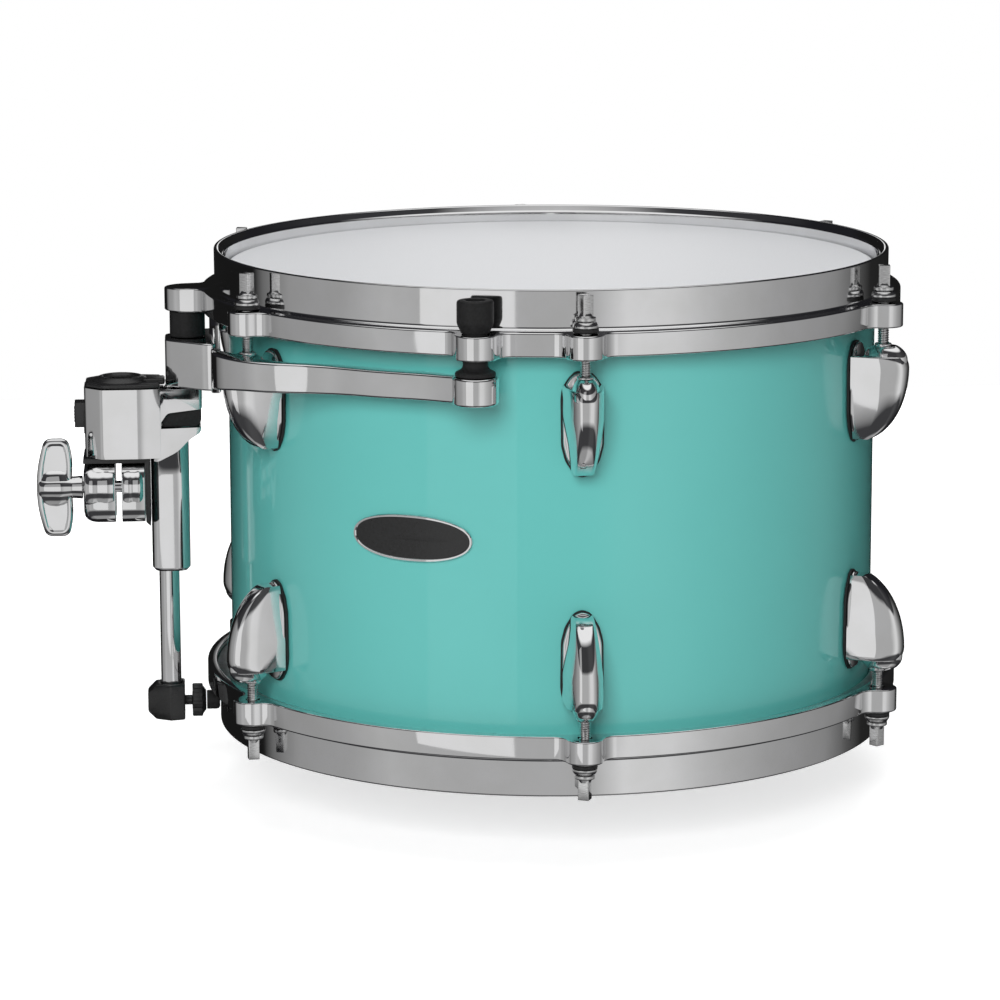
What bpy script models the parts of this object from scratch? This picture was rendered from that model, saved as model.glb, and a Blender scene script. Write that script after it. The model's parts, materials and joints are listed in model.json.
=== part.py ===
"""A 12 inch rack tom with die-cast hoops, twelve separate lugs and a suspended tom mount.

The drum's axis is Z, and the origin is the middle of the bottom head's outer face. The mount is on the
-X side. Heights of the paired top and bottom hardware are measured from the drum's middle, so that one
shape serves both ends: the lower set hangs from an empty that is turned over about X.
"""

import math

import bmesh
import bpy
from mathutils import Matrix, Vector

MM = 0.001

# Drum
SHELL_RADIUS = 151.0 * MM
SHELL_WALL = 6.0 * MM
BEARING_BEVEL = 1.5 * MM
DRUM_HEIGHT = 224.0 * MM
STATIONS = 6
FIRST_STATION = -90.0
FIT = 0.3 * MM
RING_STEPS = 48

# Heads
HEAD_RECESS = 7.7 * MM
HEAD_CORNER = 1.2 * MM
FLESH_BEVEL = 1.6 * MM
FILM = 0.3 * MM
FLESH_TALL = 8.0 * MM

# Hoops
HOOP_TALL = 28.6 * MM
FLANGE_TALL = 11.2 * MM
BAND_WALL = 4.5 * MM
BAND_CLEAR = 1.5 * MM
FLANGE_STEP = 5.75 * MM
FLANGE_WALL = 4.35 * MM
EAR_RADIUS = 8.0 * MM
EAR_FILLET = 7.0 * MM
EAR_OUT = 0.8 * MM
EAR_STEP = 0.05 * MM
HOOP_LIP = 0.8 * MM

# Tension rods and washers
ROD_STANDOFF = 2.25 * MM
ROD_RADIUS = 2.6 * MM
ROD_PITCH = 1.058 * MM
ROD_COLLAR = 4.6 * MM
ROD_COLLAR_TALL = 1.7 * MM
ROD_KEY = 5.0 * MM
ROD_KEY_TALL = 9.6 * MM
WASHER_RADIUS = 5.65 * MM
WASHER_TALL = 2.4 * MM
NYLON_TALL = 1.8 * MM
ROD_SIDES = 8

# Lugs
LUG_DROP = 8.2 * MM
LUG_TALL = 45.0 * MM
LUG_PLATE_WIDTH = 18.2 * MM
LUG_PLATE_THICK = 1.7 * MM
LUG_BODY_WIDTH = 15.2 * MM
LUG_NOSE_WIDTH = 9.2 * MM
LUG_REACH = 12.0 * MM
LUG_RIDGE = 1.7 * MM
LUG_SHOULDER = 6.2 * MM
ROD_IN_LUG = 27.7 * MM
GASKET = 1.0 * MM
GASKET_MARGIN = 0.5 * MM
LUG_SCREW = 1.9 * MM
LUG_SCREW_HEAD = 4.0 * MM
LUG_SCREW_HEAD_TALL = 2.6 * MM

# Arc bar of the suspension mount
MOUNT_SPREAD = 73.9
BAR_THICK = 4.5 * MM
EYE_STANDOFF = 4.7 * MM
EYE_RADIUS = 10.0 * MM
MOUNT_EAR_RADIUS = 9.2 * MM
EYE_DROP = 7.3 * MM
EYE_TALL = 12.2 * MM
BUSHING_RADIUS = 8.0 * MM
BUSHING_NECK = 5.4 * MM
BUSHING_TALL = 14.2 * MM
BOLT_RADIUS = 2.7 * MM
BOLT_HEAD = 3.6 * MM
BOLT_HEAD_TALL = 3.2 * MM
BUSHING_RECESS = 6.8 * MM
STUD_REACH = 6.0 * MM
BOLT_SIDES = 8
BLOCK_HALF = 26.0 * MM
BLOCK_NOSE = 8.5 * MM
BLOCK_DEPTH = 21.0 * MM
BLOCK_TALL = 21.8 * MM
BLOCK_DROP = 12.8 * MM

# Bracket that takes the L-shaped rod of a tom holder
L_ROD_RADIUS = 5.25 * MM
L_ROD_OUT = 36.0 * MM
BARREL_FLATS = 35.0 * MM
BARREL_TALL = 32.5 * MM
ARM_WIDTH = 18.0 * MM
ARM_TALL = 10.2 * MM
MOUTH_TALL = 8.6 * MM
MOUTH_TIP = 2.0 * MM
SHOULDER_WIDTH = 14.4 * MM
INSERT_WIDTH = 14.0 * MM
BARREL_OFFSET = 0.5 * MM
JAW_TALL = 28.0 * MM
JAW_GAP = 3.0 * MM
JAW_THICK = 14.7 * MM
JAW_REAR = 14.0 * MM
JAW_MARGIN = 6.6 * MM
JAW_CHAMFER = 6.0 * MM
BOSS_RADIUS = 4.6 * MM
SLIT_OFFSET = 1.8 * MM
LINER = 2.2 * MM
CAP_RADIUS = 13.0 * MM
CAP_TALL = 6.0 * MM
CAP_BASE = 2.2 * MM
CAP_EDGE = 4.0 * MM
TONGUE_WIDTH = 12.0 * MM
TONGUE_TALL = 3.6 * MM
BUTTON_WIDTH = 10.0 * MM
BUTTON_TALL = 11.6 * MM
BUTTON_RISE = 19.0 * MM
BUTTON_REACH = 4.7 * MM
BUTTON_DEPTH = 5.4 * MM
BUTTON_BEVEL = 0.8 * MM
BUTTON_TRAVEL = 3.0 * MM
WING_SPAN = 46.0 * MM
WING_WIDTH = 17.0 * MM
WING_THICK = 6.0 * MM
WING_SCREW = 2.7 * MM
HUB_RADIUS = 5.6 * MM
HUB_REACH = 9.0 * MM
HUB_BEVEL = 1.0 * MM
HUB_NECK = 4.6 * MM
SCREW_WALL = 3.4 * MM
SCREW_RISE = 3.0 * MM

# Stabiliser below the bracket
TUBE_RADIUS = 8.95 * MM
TUBE_TALL = 69.0 * MM
STAY_RADIUS = 4.75 * MM
STAY_OFFSET = 1.2 * MM
STAY_IN_TUBE = 44.0 * MM
FOOT_TALL = 16.9 * MM
FOOT_BEVEL = 3.8 * MM
FOOT_RAISED = 0.7 * MM
FOOT_REACH = 11.1 * MM
FOOT_GAP = 3.4 * MM
KNOB_TALL = 6.6 * MM
KNOB_RADIUS = 8.0 * MM
STAY_SCREW = 2.3 * MM
TIP_RADIUS = 4.5 * MM
TIP_TALL = 6.2 * MM
TIP_BEVEL = 1.6 * MM
TIP_PIN = 1.6 * MM
TIP_PIN_LENGTH = 3.0 * MM

# Vent
VENT_ANGLE = 166.0
VENT_DROP = 36.0 * MM
VENT_HOLE = 3.2 * MM
VENT_NECK = 5.4 * MM
VENT_FLANGE = 8.6 * MM
VENT_BACK_FLANGE = 7.6 * MM

# Worked-out sizes of the drum, heights from its middle
RIM = DRUM_HEIGHT / 2
HEAD_TOP = RIM - HEAD_RECESS
MID = HEAD_TOP
SHELL_HALF = HEAD_TOP - FILM - FIT
SHELL_INNER = SHELL_RADIUS - SHELL_WALL
BAND_INNER = SHELL_RADIUS + BAND_CLEAR
BAND_OUTER = BAND_INNER + BAND_WALL
FLANGE_OUTER = BAND_OUTER + FLANGE_STEP
REBATE = FLANGE_OUTER - FLANGE_WALL
FLANGE_LOW = RIM - HOOP_TALL
FLANGE_TOP = FLANGE_LOW + FLANGE_TALL
REBATE_TOP = FLANGE_TOP - HOOP_LIP
ROD_CIRCLE = FLANGE_OUTER + ROD_STANDOFF
ROD_BORE = (ROD_RADIUS + FIT) / math.cos(math.pi / ROD_SIDES)

# Worked-out heights of a rod and its washers
NYLON_LOW = FLANGE_TOP + FIT
STEEL_LOW = NYLON_LOW + NYLON_TALL + FIT
COLLAR_LOW = STEEL_LOW + WASHER_TALL + FIT
KEY_LOW = COLLAR_LOW + ROD_COLLAR_TALL
KEY_TOP = KEY_LOW + ROD_KEY_TALL
LUG_TOP = FLANGE_LOW - LUG_DROP
LUG_LOW = LUG_TOP - LUG_TALL
ROD_END = LUG_TOP - ROD_IN_LUG

# Worked-out radii of a lug
GASKET_BACK = SHELL_RADIUS + FIT
PLATE_BACK = GASKET_BACK + GASKET
PLATE_FRONT = PLATE_BACK + LUG_PLATE_THICK
LUG_OUT = ROD_CIRCLE + LUG_REACH
LUG_WIDEST = LUG_TOP - 11.2 * MM
SCREW_HEIGHTS = (LUG_LOW + 8.4 * MM, LUG_TOP - 14.2 * MM)
LUG_SCREW_BORE = (LUG_SCREW + FIT) / math.cos(math.pi / 6)

# Worked-out places of the mount, out from the drum's axis and up from its middle
EYE_CIRCLE = ROD_CIRCLE + EYE_STANDOFF
EYE_TOP = FLANGE_LOW - EYE_DROP
BLOCK_TOP = FLANGE_LOW - BLOCK_DROP
BLOCK_LOW = BLOCK_TOP - BLOCK_TALL
BAR_FACE = ROD_CIRCLE - 5.8 * MM
BLOCK_FACE = BAR_FACE + BLOCK_DEPTH
LUG_SIDE = ROD_CIRCLE * math.sin(math.pi / STATIONS)
EYE_SIDE = EYE_CIRCLE * math.sin(math.radians(MOUNT_SPREAD))
BOLT_BORE = (BOLT_RADIUS + FIT) / math.cos(math.pi / BOLT_SIDES)
L_ROD_BORE = (L_ROD_RADIUS + 1.5 * FIT) / math.cos(math.pi / 12)
L_ROD_AT = ROD_CIRCLE + L_ROD_OUT
BARREL_TOP = BLOCK_LOW - FIT
BARREL_LOW = BARREL_TOP - BARREL_TALL
BARREL_AT = L_ROD_AT - BARREL_OFFSET
BARREL_FACE = BARREL_AT + BARREL_FLATS / 2
BARREL_BACK = BARREL_AT - BARREL_FLATS / 2
ARM_LOW = BARREL_TOP - ARM_TALL
MOUTH_LOW = ARM_LOW - MOUTH_TALL
MOUTH_BACK = BARREL_BACK - 0.4 * MM
ARM_TIP = EYE_CIRCLE - 6.2 * MM
TUBE_AT = EYE_CIRCLE + 9.2 * MM
TUBE_LOW = MOUTH_LOW - TUBE_TALL
STAY_AT = TUBE_AT + STAY_OFFSET
STAY_BORE = STAY_RADIUS + 1.8 * FIT
LINER_TOP = BARREL_LOW - FIT
JAW_TOP = LINER_TOP - LINER - FIT
JAW_LOW = JAW_TOP - JAW_TALL
JAW_MID = (JAW_TOP + JAW_LOW) / 2
LINER_BACK = TUBE_AT + TUBE_RADIUS + 0.9 * FIT
SEAT_BACK = LINER_BACK + LINER + FIT
SEAT_FACE = L_ROD_AT + SLIT_OFFSET - JAW_GAP / 2
JAW_FACE = SEAT_FACE + JAW_GAP
JAW_OUT = JAW_FACE + JAW_THICK
SCREW_SIDE = L_ROD_RADIUS + WING_SCREW + SCREW_WALL
SCREW_HEIGHT = JAW_MID + SCREW_RISE
WING_AT = JAW_OUT + HUB_NECK
BUTTON_HEIGHT = BARREL_LOW + BUTTON_RISE

# Worked-out places of the stabiliser, up from the drum's middle
FOOT_LOW = -RIM + FOOT_RAISED
STAY_SCREW_HEIGHT = FOOT_LOW + KNOB_RADIUS
STAY_END = STAY_SCREW_HEIGHT + STAY_SCREW + 4 * FIT
STAY_TOP = TUBE_LOW + STAY_IN_TUBE
TIP_FACE = BAND_OUTER + FIT
TIP_BACK = TIP_FACE + TIP_TALL
KNOB_FRONT = TIP_BACK + FIT
KNOB_BACK = KNOB_FRONT + KNOB_TALL
FOOT_FACE = KNOB_BACK + FOOT_GAP
FOOT_OUT = STAY_AT + FOOT_REACH


def clear_scene():
    for obj in list(bpy.data.objects):
        bpy.data.objects.remove(obj, do_unlink=True)


def new_collection(name, hidden=False):
    collection = bpy.data.collections.new(name)
    bpy.context.scene.collection.children.link(collection)
    collection.hide_render = hidden
    return collection


def material(name, color, roughness, metallic=0.0):
    made = bpy.data.materials.new(name)
    made.use_nodes = True
    shader = made.node_tree.nodes["Principled BSDF"]
    shader.inputs["Base Color"].default_value = (*color, 1.0)
    shader.inputs["Roughness"].default_value = roughness
    shader.inputs["Metallic"].default_value = metallic
    made.diffuse_color = (*color, 1.0)
    return made


clear_scene()
PARTS = new_collection("rack_tom")
CUTTERS = new_collection("cutters", hidden=True)
CHROME = material("chrome", (0.80, 0.80, 0.81), 0.08, 1.0)
STEEL = material("steel", (0.62, 0.62, 0.64), 0.30, 1.0)
LACQUER = material("turquoise_lacquer", (0.19, 0.53, 0.49), 0.10)
FILM_COAT = material("coated_film", (0.80, 0.81, 0.82), 0.55)
RUBBER = material("black_rubber", (0.02, 0.02, 0.022), 0.60)
PLASTIC = material("black_plastic", (0.03, 0.03, 0.033), 0.40)


def radial(angle):
    """Turns a piece modelled on the +X side to the station at this angle, in degrees about Z."""
    return Matrix.Rotation(math.radians(angle), 4, "Z")


def raised(height):
    return Matrix.Translation((0, 0, height))


def outward(radius):
    return Matrix.Translation((radius, 0, 0))


def polar(radius, angle):
    return (radius * math.cos(math.radians(angle)), radius * math.sin(math.radians(angle)))


def arc(center, radius, start, end, steps):
    """Points on an arc, in degrees, both ends included."""
    angles = [start + (end - start) * step / steps for step in range(steps + 1)]
    return [
        (center[0] + radius * math.cos(math.radians(a)), center[1] + radius * math.sin(math.radians(a)))
        for a in angles
    ]


def mirrored(outline):
    """Closes a half outline by its mirror image in y, leaving out points that lie on the line itself."""
    return outline + [(x, -y) for x, y in reversed(outline) if abs(y) > 1e-9]


def add_object(name, mesh, collection, finish=None, matrix=None):
    obj = bpy.data.objects.new(name, mesh)
    collection.objects.link(obj)
    if finish:
        mesh.materials.clear()
        mesh.materials.append(finish)
    if matrix:
        obj.matrix_world = matrix
    return obj


def evaluated_mesh(obj, name):
    bpy.context.view_layer.update()
    graph = bpy.context.evaluated_depsgraph_get()
    return bpy.data.meshes.new_from_object(obj.evaluated_get(graph), depsgraph=graph)


def weld(mesh):
    shape = bmesh.new()
    shape.from_mesh(mesh)
    bmesh.ops.remove_doubles(shape, verts=shape.verts, dist=0.00001)
    bmesh.ops.recalc_face_normals(shape, faces=shape.faces)
    shape.to_mesh(mesh)
    shape.free()
    return mesh


def plate(name, outline, low, high, axis="Z"):
    """A flat outline made solid from low to high. On axis X the outline is (y, z), on axis Y it is (x, z)."""
    curve = bpy.data.curves.new(name, "CURVE")
    curve.dimensions = "2D"
    curve.fill_mode = "BOTH"
    curve.extrude = (high - low) / 2
    spline = curve.splines.new("POLY")
    spline.points.add(len(outline) - 1)
    for point, (x, y) in zip(spline.points, outline):
        point.co = (x, y, 0, 1)
    spline.use_cyclic_u = True
    source = bpy.data.objects.new(name, curve)
    CUTTERS.objects.link(source)
    mesh = weld(evaluated_mesh(source, name))
    bpy.data.objects.remove(source)
    turn = {
        "Z": Matrix.Identity(4),
        "X": Matrix(((0, 0, 1, 0), (1, 0, 0, 0), (0, 1, 0, 0), (0, 0, 0, 1))),
        "Y": Matrix(((1, 0, 0, 0), (0, 0, -1, 0), (0, 1, 0, 0), (0, 0, 0, 1))),
    }[axis]
    middle = (high + low) / 2 if axis != "Y" else -(high + low) / 2
    mesh.transform(turn @ Matrix.Translation((0, 0, middle)))
    return mesh


def turned(name, profile, steps, closed=False):
    """A profile of (radius, height) points turned about Z. Its outer side runs downwards."""
    mesh = bpy.data.meshes.new(name)
    edges = [(i, i + 1) for i in range(len(profile) - 1)]
    if closed:
        edges.append((len(profile) - 1, 0))
    mesh.from_pydata([(r, 0, z) for r, z in profile], edges, [])
    source = add_object(name, mesh, CUTTERS)
    screw = source.modifiers.new("turn", "SCREW")
    screw.axis = "Z"
    screw.angle = math.tau
    screw.steps = steps
    screw.render_steps = steps
    screw.use_merge_vertices = True
    screw.merge_threshold = 0.00001
    screw.use_smooth_shade = False
    result = evaluated_mesh(source, name)
    bpy.data.objects.remove(source)
    return result


def cylinder(radius, low, high, sides, end_radius=None):
    """A cylinder or cone on the Z axis, from low to high."""
    shape = bmesh.new()
    bmesh.ops.create_cone(
        shape,
        cap_ends=True,
        cap_tris=False,
        segments=sides,
        radius1=radius,
        radius2=radius if end_radius is None else end_radius,
        depth=high - low,
        matrix=raised((low + high) / 2),
    )
    mesh = bpy.data.meshes.new("cylinder")
    shape.to_mesh(mesh)
    shape.free()
    return mesh


def box(low, high):
    shape = bmesh.new()
    size = [b - a for a, b in zip(low, high)]
    middle = [(a + b) / 2 for a, b in zip(low, high)]
    bmesh.ops.create_cube(shape, size=1.0, matrix=Matrix.Translation(middle) @ Matrix.Diagonal((*size, 1.0)))
    mesh = bpy.data.meshes.new("box")
    shape.to_mesh(mesh)
    shape.free()
    return mesh


def loft(sections):
    """A closed solid through sections that all have the same number of points, capped at both ends."""
    shape = bmesh.new()
    rings = [[shape.verts.new(point) for point in section] for section in sections]
    count = len(sections[0])
    for lower, upper in zip(rings, rings[1:]):
        for i in range(count):
            shape.faces.new((lower[i], lower[(i + 1) % count], upper[(i + 1) % count], upper[i]))
    shape.faces.new(rings[0][::-1])
    shape.faces.new(rings[-1])
    bmesh.ops.recalc_face_normals(shape, faces=shape.faces)
    mesh = bpy.data.meshes.new("loft")
    shape.to_mesh(mesh)
    shape.free()
    return mesh


def moved(mesh, matrix):
    mesh.transform(matrix)
    return mesh


def along(direction, point):
    """Stands a piece that was made on the Z axis along another direction, from this point."""
    turn = Vector((0, 0, 1)).rotation_difference(Vector(direction)).to_matrix().to_4x4()
    return Matrix.Translation(point) @ turn


def group(meshes):
    """Puts meshes that don't touch each other into one mesh."""
    shape = bmesh.new()
    for mesh in meshes:
        shape.from_mesh(mesh)
    joined = bpy.data.meshes.new("group")
    shape.to_mesh(joined)
    shape.free()
    return joined


def combine(base, steps):
    """Applies Boolean steps, each a pair of UNION or DIFFERENCE and a mesh, and returns one mesh."""
    target = add_object("base", base, CUTTERS)
    helpers = []
    for operation, mesh in steps:
        helper = add_object("helper", mesh, CUTTERS)
        helper.display_type = "WIRE"
        helper.hide_render = True
        helpers.append(helper)
        modifier = target.modifiers.new(operation.lower(), "BOOLEAN")
        modifier.operation = operation
        modifier.solver = "EXACT"
        modifier.object = helper
    result = evaluated_mesh(target, "combined")
    for obj in [target, *helpers]:
        bpy.data.objects.remove(obj)
    return result


def place(name, mesh, finish, parent=None, matrix=None):
    """Adds a finished piece. Its origin is where the matrix puts it, under its parent."""
    mesh.name = name
    obj = bpy.data.objects.new(name, mesh)
    PARTS.objects.link(obj)
    if not mesh.materials:
        mesh.materials.append(finish)
    if parent:
        obj.parent = parent
    obj.matrix_local = matrix or Matrix.Identity(4)
    mesh.shade_smooth()
    mesh.set_sharp_from_angle(angle=math.radians(32))
    return obj


def add_empty(name, matrix):
    empty = bpy.data.objects.new(name, None)
    empty.empty_display_size = 0.02
    PARTS.objects.link(empty)
    empty.matrix_world = matrix
    return empty


def station_angles():
    return [FIRST_STATION + 360.0 / STATIONS * k for k in range(STATIONS)]


UPPER = add_empty("upper_set", raised(MID))
LOWER = add_empty("lower_set", raised(MID) @ Matrix.Rotation(math.pi, 4, "X"))
MOUNT = add_empty("mount", raised(MID) @ radial(180.0))
bpy.context.view_layer.update()


def make_shell():
    """Wooden shell with a bearing edge at each end, and holes for the lug screws and the vent."""
    edge = SHELL_RADIUS - BEARING_BEVEL
    outer = SHELL_HALF - BEARING_BEVEL
    inner = SHELL_HALF - (edge - SHELL_INNER)
    profile = [
        (edge, SHELL_HALF),
        (SHELL_RADIUS, outer),
        (SHELL_RADIUS, -outer),
        (edge, -SHELL_HALF),
        (SHELL_INNER, -inner),
        (SHELL_INNER, inner),
    ]
    body = turned("shell", profile, RING_STEPS, closed=True)
    holes = []
    for angle in station_angles():
        for height in SCREW_HEIGHTS:
            for side in (1, -1):
                drill = cylinder(LUG_SCREW_BORE, SHELL_INNER - 5 * MM, SHELL_RADIUS + 5 * MM, 6)
                moved(drill, radial(angle) @ raised(side * height) @ along((1, 0, 0), (0, 0, 0)))
                holes.append(drill)
    vent = cylinder(VENT_NECK + FIT, SHELL_INNER - 5 * MM, SHELL_RADIUS + 5 * MM, 12)
    moved(vent, radial(VENT_ANGLE) @ raised(-VENT_DROP) @ along((1, 0, 0), (0, 0, 0)))
    mesh = combine(body, [("DIFFERENCE", group([*holes, vent]))])
    place("shell", mesh, LACQUER, matrix=raised(MID))


def head_mesh():
    """Film with its turned-down collar, set in an aluminium flesh hoop."""
    collar = SHELL_RADIUS + FIT + 0.05 * MM
    flesh_top = REBATE_TOP - 0.4 * MM
    flesh_low = flesh_top - FLESH_TALL
    flesh_inner = SHELL_RADIUS + 1.4 * MM
    under = HEAD_TOP - FILM
    profile = [
        (0, HEAD_TOP),
        (SHELL_RADIUS - 1.0 * MM, HEAD_TOP),
        (collar + 0.6 * MM, HEAD_TOP - 1.7 * MM),
        (collar + 0.6 * MM, flesh_top),
        (REBATE - 0.35 * MM, flesh_top),
        (REBATE - 0.35 * MM, flesh_low),
        (flesh_inner, flesh_low),
        (collar, flesh_low + FLESH_BEVEL),
        (collar, under - BEARING_BEVEL),
        (SHELL_RADIUS - HEAD_CORNER, under),
        (0, under),
    ]
    return turned("head", profile, RING_STEPS)


def make_heads():
    shared = head_mesh()
    place("top_head", shared, FILM_COAT, UPPER)
    place("bottom_head", shared, FILM_COAT, LOWER)


def ear_outline(center, radius, fillet):
    """Half circle of an ear, run into the flange by a fillet on each side."""
    to_fillet = FLANGE_OUTER + fillet
    reach = radius + fillet
    along_axis = (to_fillet**2 - reach**2 + center**2) / (2 * center)
    aside = math.sqrt(to_fillet**2 - along_axis**2)
    on_ear = math.degrees(math.atan2(aside, along_axis - center))
    to_hoop = math.degrees(math.atan2(-aside, -along_axis))
    to_ear = math.degrees(math.atan2(-aside, center - along_axis))
    root = polar(FLANGE_OUTER - FLANGE_WALL / 2, math.degrees(math.atan2(aside, along_axis)))
    half = arc((center, 0), radius, 0, on_ear, 5)[:-1]
    half += arc((along_axis, aside), fillet, to_ear, to_hoop, 3)
    half.append(root)
    return mirrored(half)


def hoop_body():
    profile = [
        (BAND_OUTER - HOOP_LIP, RIM),
        (BAND_OUTER, RIM - HOOP_LIP),
        (BAND_OUTER - 0.2 * MM, FLANGE_TOP + 2.0 * MM),
        (ROD_CIRCLE - WASHER_RADIUS - FIT, FLANGE_TOP),
        (FLANGE_OUTER, FLANGE_TOP),
        (FLANGE_OUTER, FLANGE_LOW),
        (REBATE, FLANGE_LOW),
        (REBATE, REBATE_TOP),
        (BAND_INNER, REBATE_TOP),
        (BAND_INNER, RIM - HOOP_LIP),
        (BAND_INNER + HOOP_LIP, RIM),
    ]
    return turned("hoop", profile, RING_STEPS, closed=True)


def hoop_mesh(with_mount):
    """Die-cast hoop with one drilled ear at each lug, and on the top hoop three more for the mount."""
    ears = []
    holes = []
    low, high = FLANGE_LOW + EAR_STEP, FLANGE_TOP - EAR_STEP
    lug_ear = ear_outline(ROD_CIRCLE + EAR_OUT, EAR_RADIUS, EAR_FILLET)
    for angle in station_angles():
        ears.append(moved(plate("ear", lug_ear, low, high), radial(angle)))
        drill = cylinder(ROD_BORE + FIT, low - MM, high + MM, ROD_SIDES)
        holes.append(moved(drill, radial(angle) @ outward(ROD_CIRCLE)))
    if with_mount:
        outline = ear_outline(EYE_CIRCLE - 0.7 * MM, MOUNT_EAR_RADIUS, EAR_FILLET)
        for side in (-1, 0, 1):
            angle = 180.0 + side * MOUNT_SPREAD
            ears.append(moved(plate("ear", outline, low, high), radial(angle)))
            if side:
                drill = cylinder(BUSHING_NECK + 2 * FIT, low - MM, high + MM, 12)
            else:
                drill = cylinder(BOLT_BORE, low - MM, low + STUD_REACH + 2 * FIT, BOLT_SIDES)
            holes.append(moved(drill, radial(angle) @ outward(EYE_CIRCLE)))
    return combine(hoop_body(), [("UNION", group(ears)), ("DIFFERENCE", group(holes))])


def make_hoops():
    place("top_hoop", hoop_mesh(True), CHROME, UPPER)
    place("bottom_hoop", hoop_mesh(False), CHROME, LOWER)


def lug_plate_outline(margin):
    """Shield outline of the lug's base, as (y, z), wider by a margin all round."""
    wide = LUG_PLATE_WIDTH / 2 + margin
    top = LUG_TOP + margin
    low = LUG_LOW - margin
    half = [
        (0, top),
        (0.50 * wide, top - 1.4 * MM),
        (0.88 * wide, top - 5.2 * MM),
        (wide, top - 10.5 * MM),
        (0.95 * wide, low + 13.0 * MM),
        (0.70 * wide, low + 4.8 * MM),
        (0, low),
    ]
    return half + [(-y, z) for y, z in reversed(half) if y > 1e-9]


def lug_ridge(height):
    """How far out the lug's ridge lies at a height: a quarter ellipse below, a round shoulder above."""
    if height >= LUG_WIDEST:
        shoulder = LUG_TOP - LUG_WIDEST
        rise = min(1.0, (height - LUG_WIDEST) / shoulder)
        return LUG_OUT - shoulder * (1 - math.sqrt(1 - rise**2))
    fall = (LUG_WIDEST - height) / (LUG_WIDEST - LUG_LOW)
    return SHELL_RADIUS + MM + (LUG_OUT - SHELL_RADIUS - MM) * math.sqrt(max(0.0, 1 - fall**2))


def lug_section(height, back, base_half, nose_half):
    ridge = lug_ridge(height)
    edge = max(ridge - LUG_RIDGE, back + 0.2 * MM)
    return [
        (back, -base_half, height),
        (edge, -nose_half, height),
        (ridge, 0, height),
        (edge, nose_half, height),
        (back, base_half, height),
    ]


def lug_mesh():
    """Lug with its gasket and its two screws, whose heads lie inside the shell.

    The lug has a base plate, a wedge body with a ridged nose, a round top over the rod's thread and a
    blind bore for the rod.
    """
    back = PLATE_FRONT - 0.8 * MM
    body_top = LUG_TOP - LUG_SHOULDER
    body_low = LUG_LOW + 2.6 * MM
    shares = (0.0, 0.12, 0.32, 0.58, 0.84, 1.0)
    sections = []
    for share in shares:
        height = body_low + (body_top - body_low) * share
        base_half = LUG_BODY_WIDTH / 2 * (0.62 + 0.38 * min(1.0, share * 2.2))
        nose_half = LUG_NOSE_WIDTH / 2 * (0.80 + 0.20 * share)
        sections.append(lug_section(height, back, base_half, nose_half))
    body = loft(sections)
    nose_half = LUG_NOSE_WIDTH / 2
    round_back = ROD_CIRCLE - nose_half
    crown = [
        lug_section(body_top - 1.5 * MM, round_back, nose_half, nose_half),
        lug_section(LUG_TOP - 2.8 * MM, round_back + 0.3 * MM, nose_half, nose_half),
        lug_section(LUG_TOP - 0.7 * MM, round_back + 1.0 * MM, nose_half - 0.8 * MM, nose_half - 0.8 * MM),
    ]
    base = plate("base", lug_plate_outline(0.0), PLATE_BACK, PLATE_FRONT, "X")
    gasket = plate("gasket", lug_plate_outline(GASKET_MARGIN), GASKET_BACK, PLATE_BACK + MM / 20, "X")
    at_rod = outward(ROD_CIRCLE)
    rim = moved(cylinder(ROD_BORE + 1.0 * MM, LUG_TOP - 3 * MM, LUG_TOP, ROD_SIDES), at_rod)
    bore = moved(cylinder(ROD_BORE, ROD_END - 2.0 * MM, LUG_TOP + MM, ROD_SIDES), at_rod)
    screws = group([moved(screw_mesh(), raised(height)) for height in SCREW_HEIGHTS])
    steps = [
        ("UNION", loft(crown)),
        ("UNION", rim),
        ("UNION", base),
        ("UNION", gasket),
        ("DIFFERENCE", bore),
        ("UNION", screws),
    ]
    return combine(body, steps)


def make_lugs():
    shared = lug_mesh()
    for side, parent, flip in (("upper", UPPER, 1), ("lower", LOWER, -1)):
        for number, angle in enumerate(station_angles(), 1):
            place(f"{side}_lug_{number}", shared, CHROME, parent, radial(flip * angle))


def screw_mesh():
    """Lug screw with its washer head inside the shell, pointing outwards along +X."""
    head_front = SHELL_INNER - 1.5 * FIT
    profile = [
        (0, PLATE_BACK + MM),
        (LUG_SCREW, PLATE_BACK + MM),
        (LUG_SCREW, head_front),
        (LUG_SCREW_HEAD, head_front),
        (LUG_SCREW_HEAD, head_front - LUG_SCREW_HEAD_TALL),
        (0, head_front - LUG_SCREW_HEAD_TALL),
    ]
    return moved(turned("lug_screw", profile, 6), along((1, 0, 0), (0, 0, 0)))


def rod_mesh():
    """Tension rod: threaded shank, round collar and square key head."""
    tip = 0.75 * ROD_PITCH
    profile = [
        (0, KEY_LOW + 0.9 * MM),
        (ROD_KEY / 2 + 0.9 * MM, KEY_LOW + 0.9 * MM),
        (ROD_COLLAR, KEY_LOW),
        (ROD_COLLAR, COLLAR_LOW),
        (ROD_RADIUS, COLLAR_LOW),
        (ROD_RADIUS, ROD_END + tip),
        (ROD_RADIUS - tip, ROD_END),
        (0, ROD_END),
    ]
    shank = turned("rod", profile, ROD_SIDES)
    half = ROD_KEY / 2
    square = [(half, half), (-half, half), (-half, -half), (half, -half)]
    key = plate("key", square, KEY_LOW - MM / 2, KEY_TOP)
    return combine(shank, [("UNION", key)])


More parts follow.
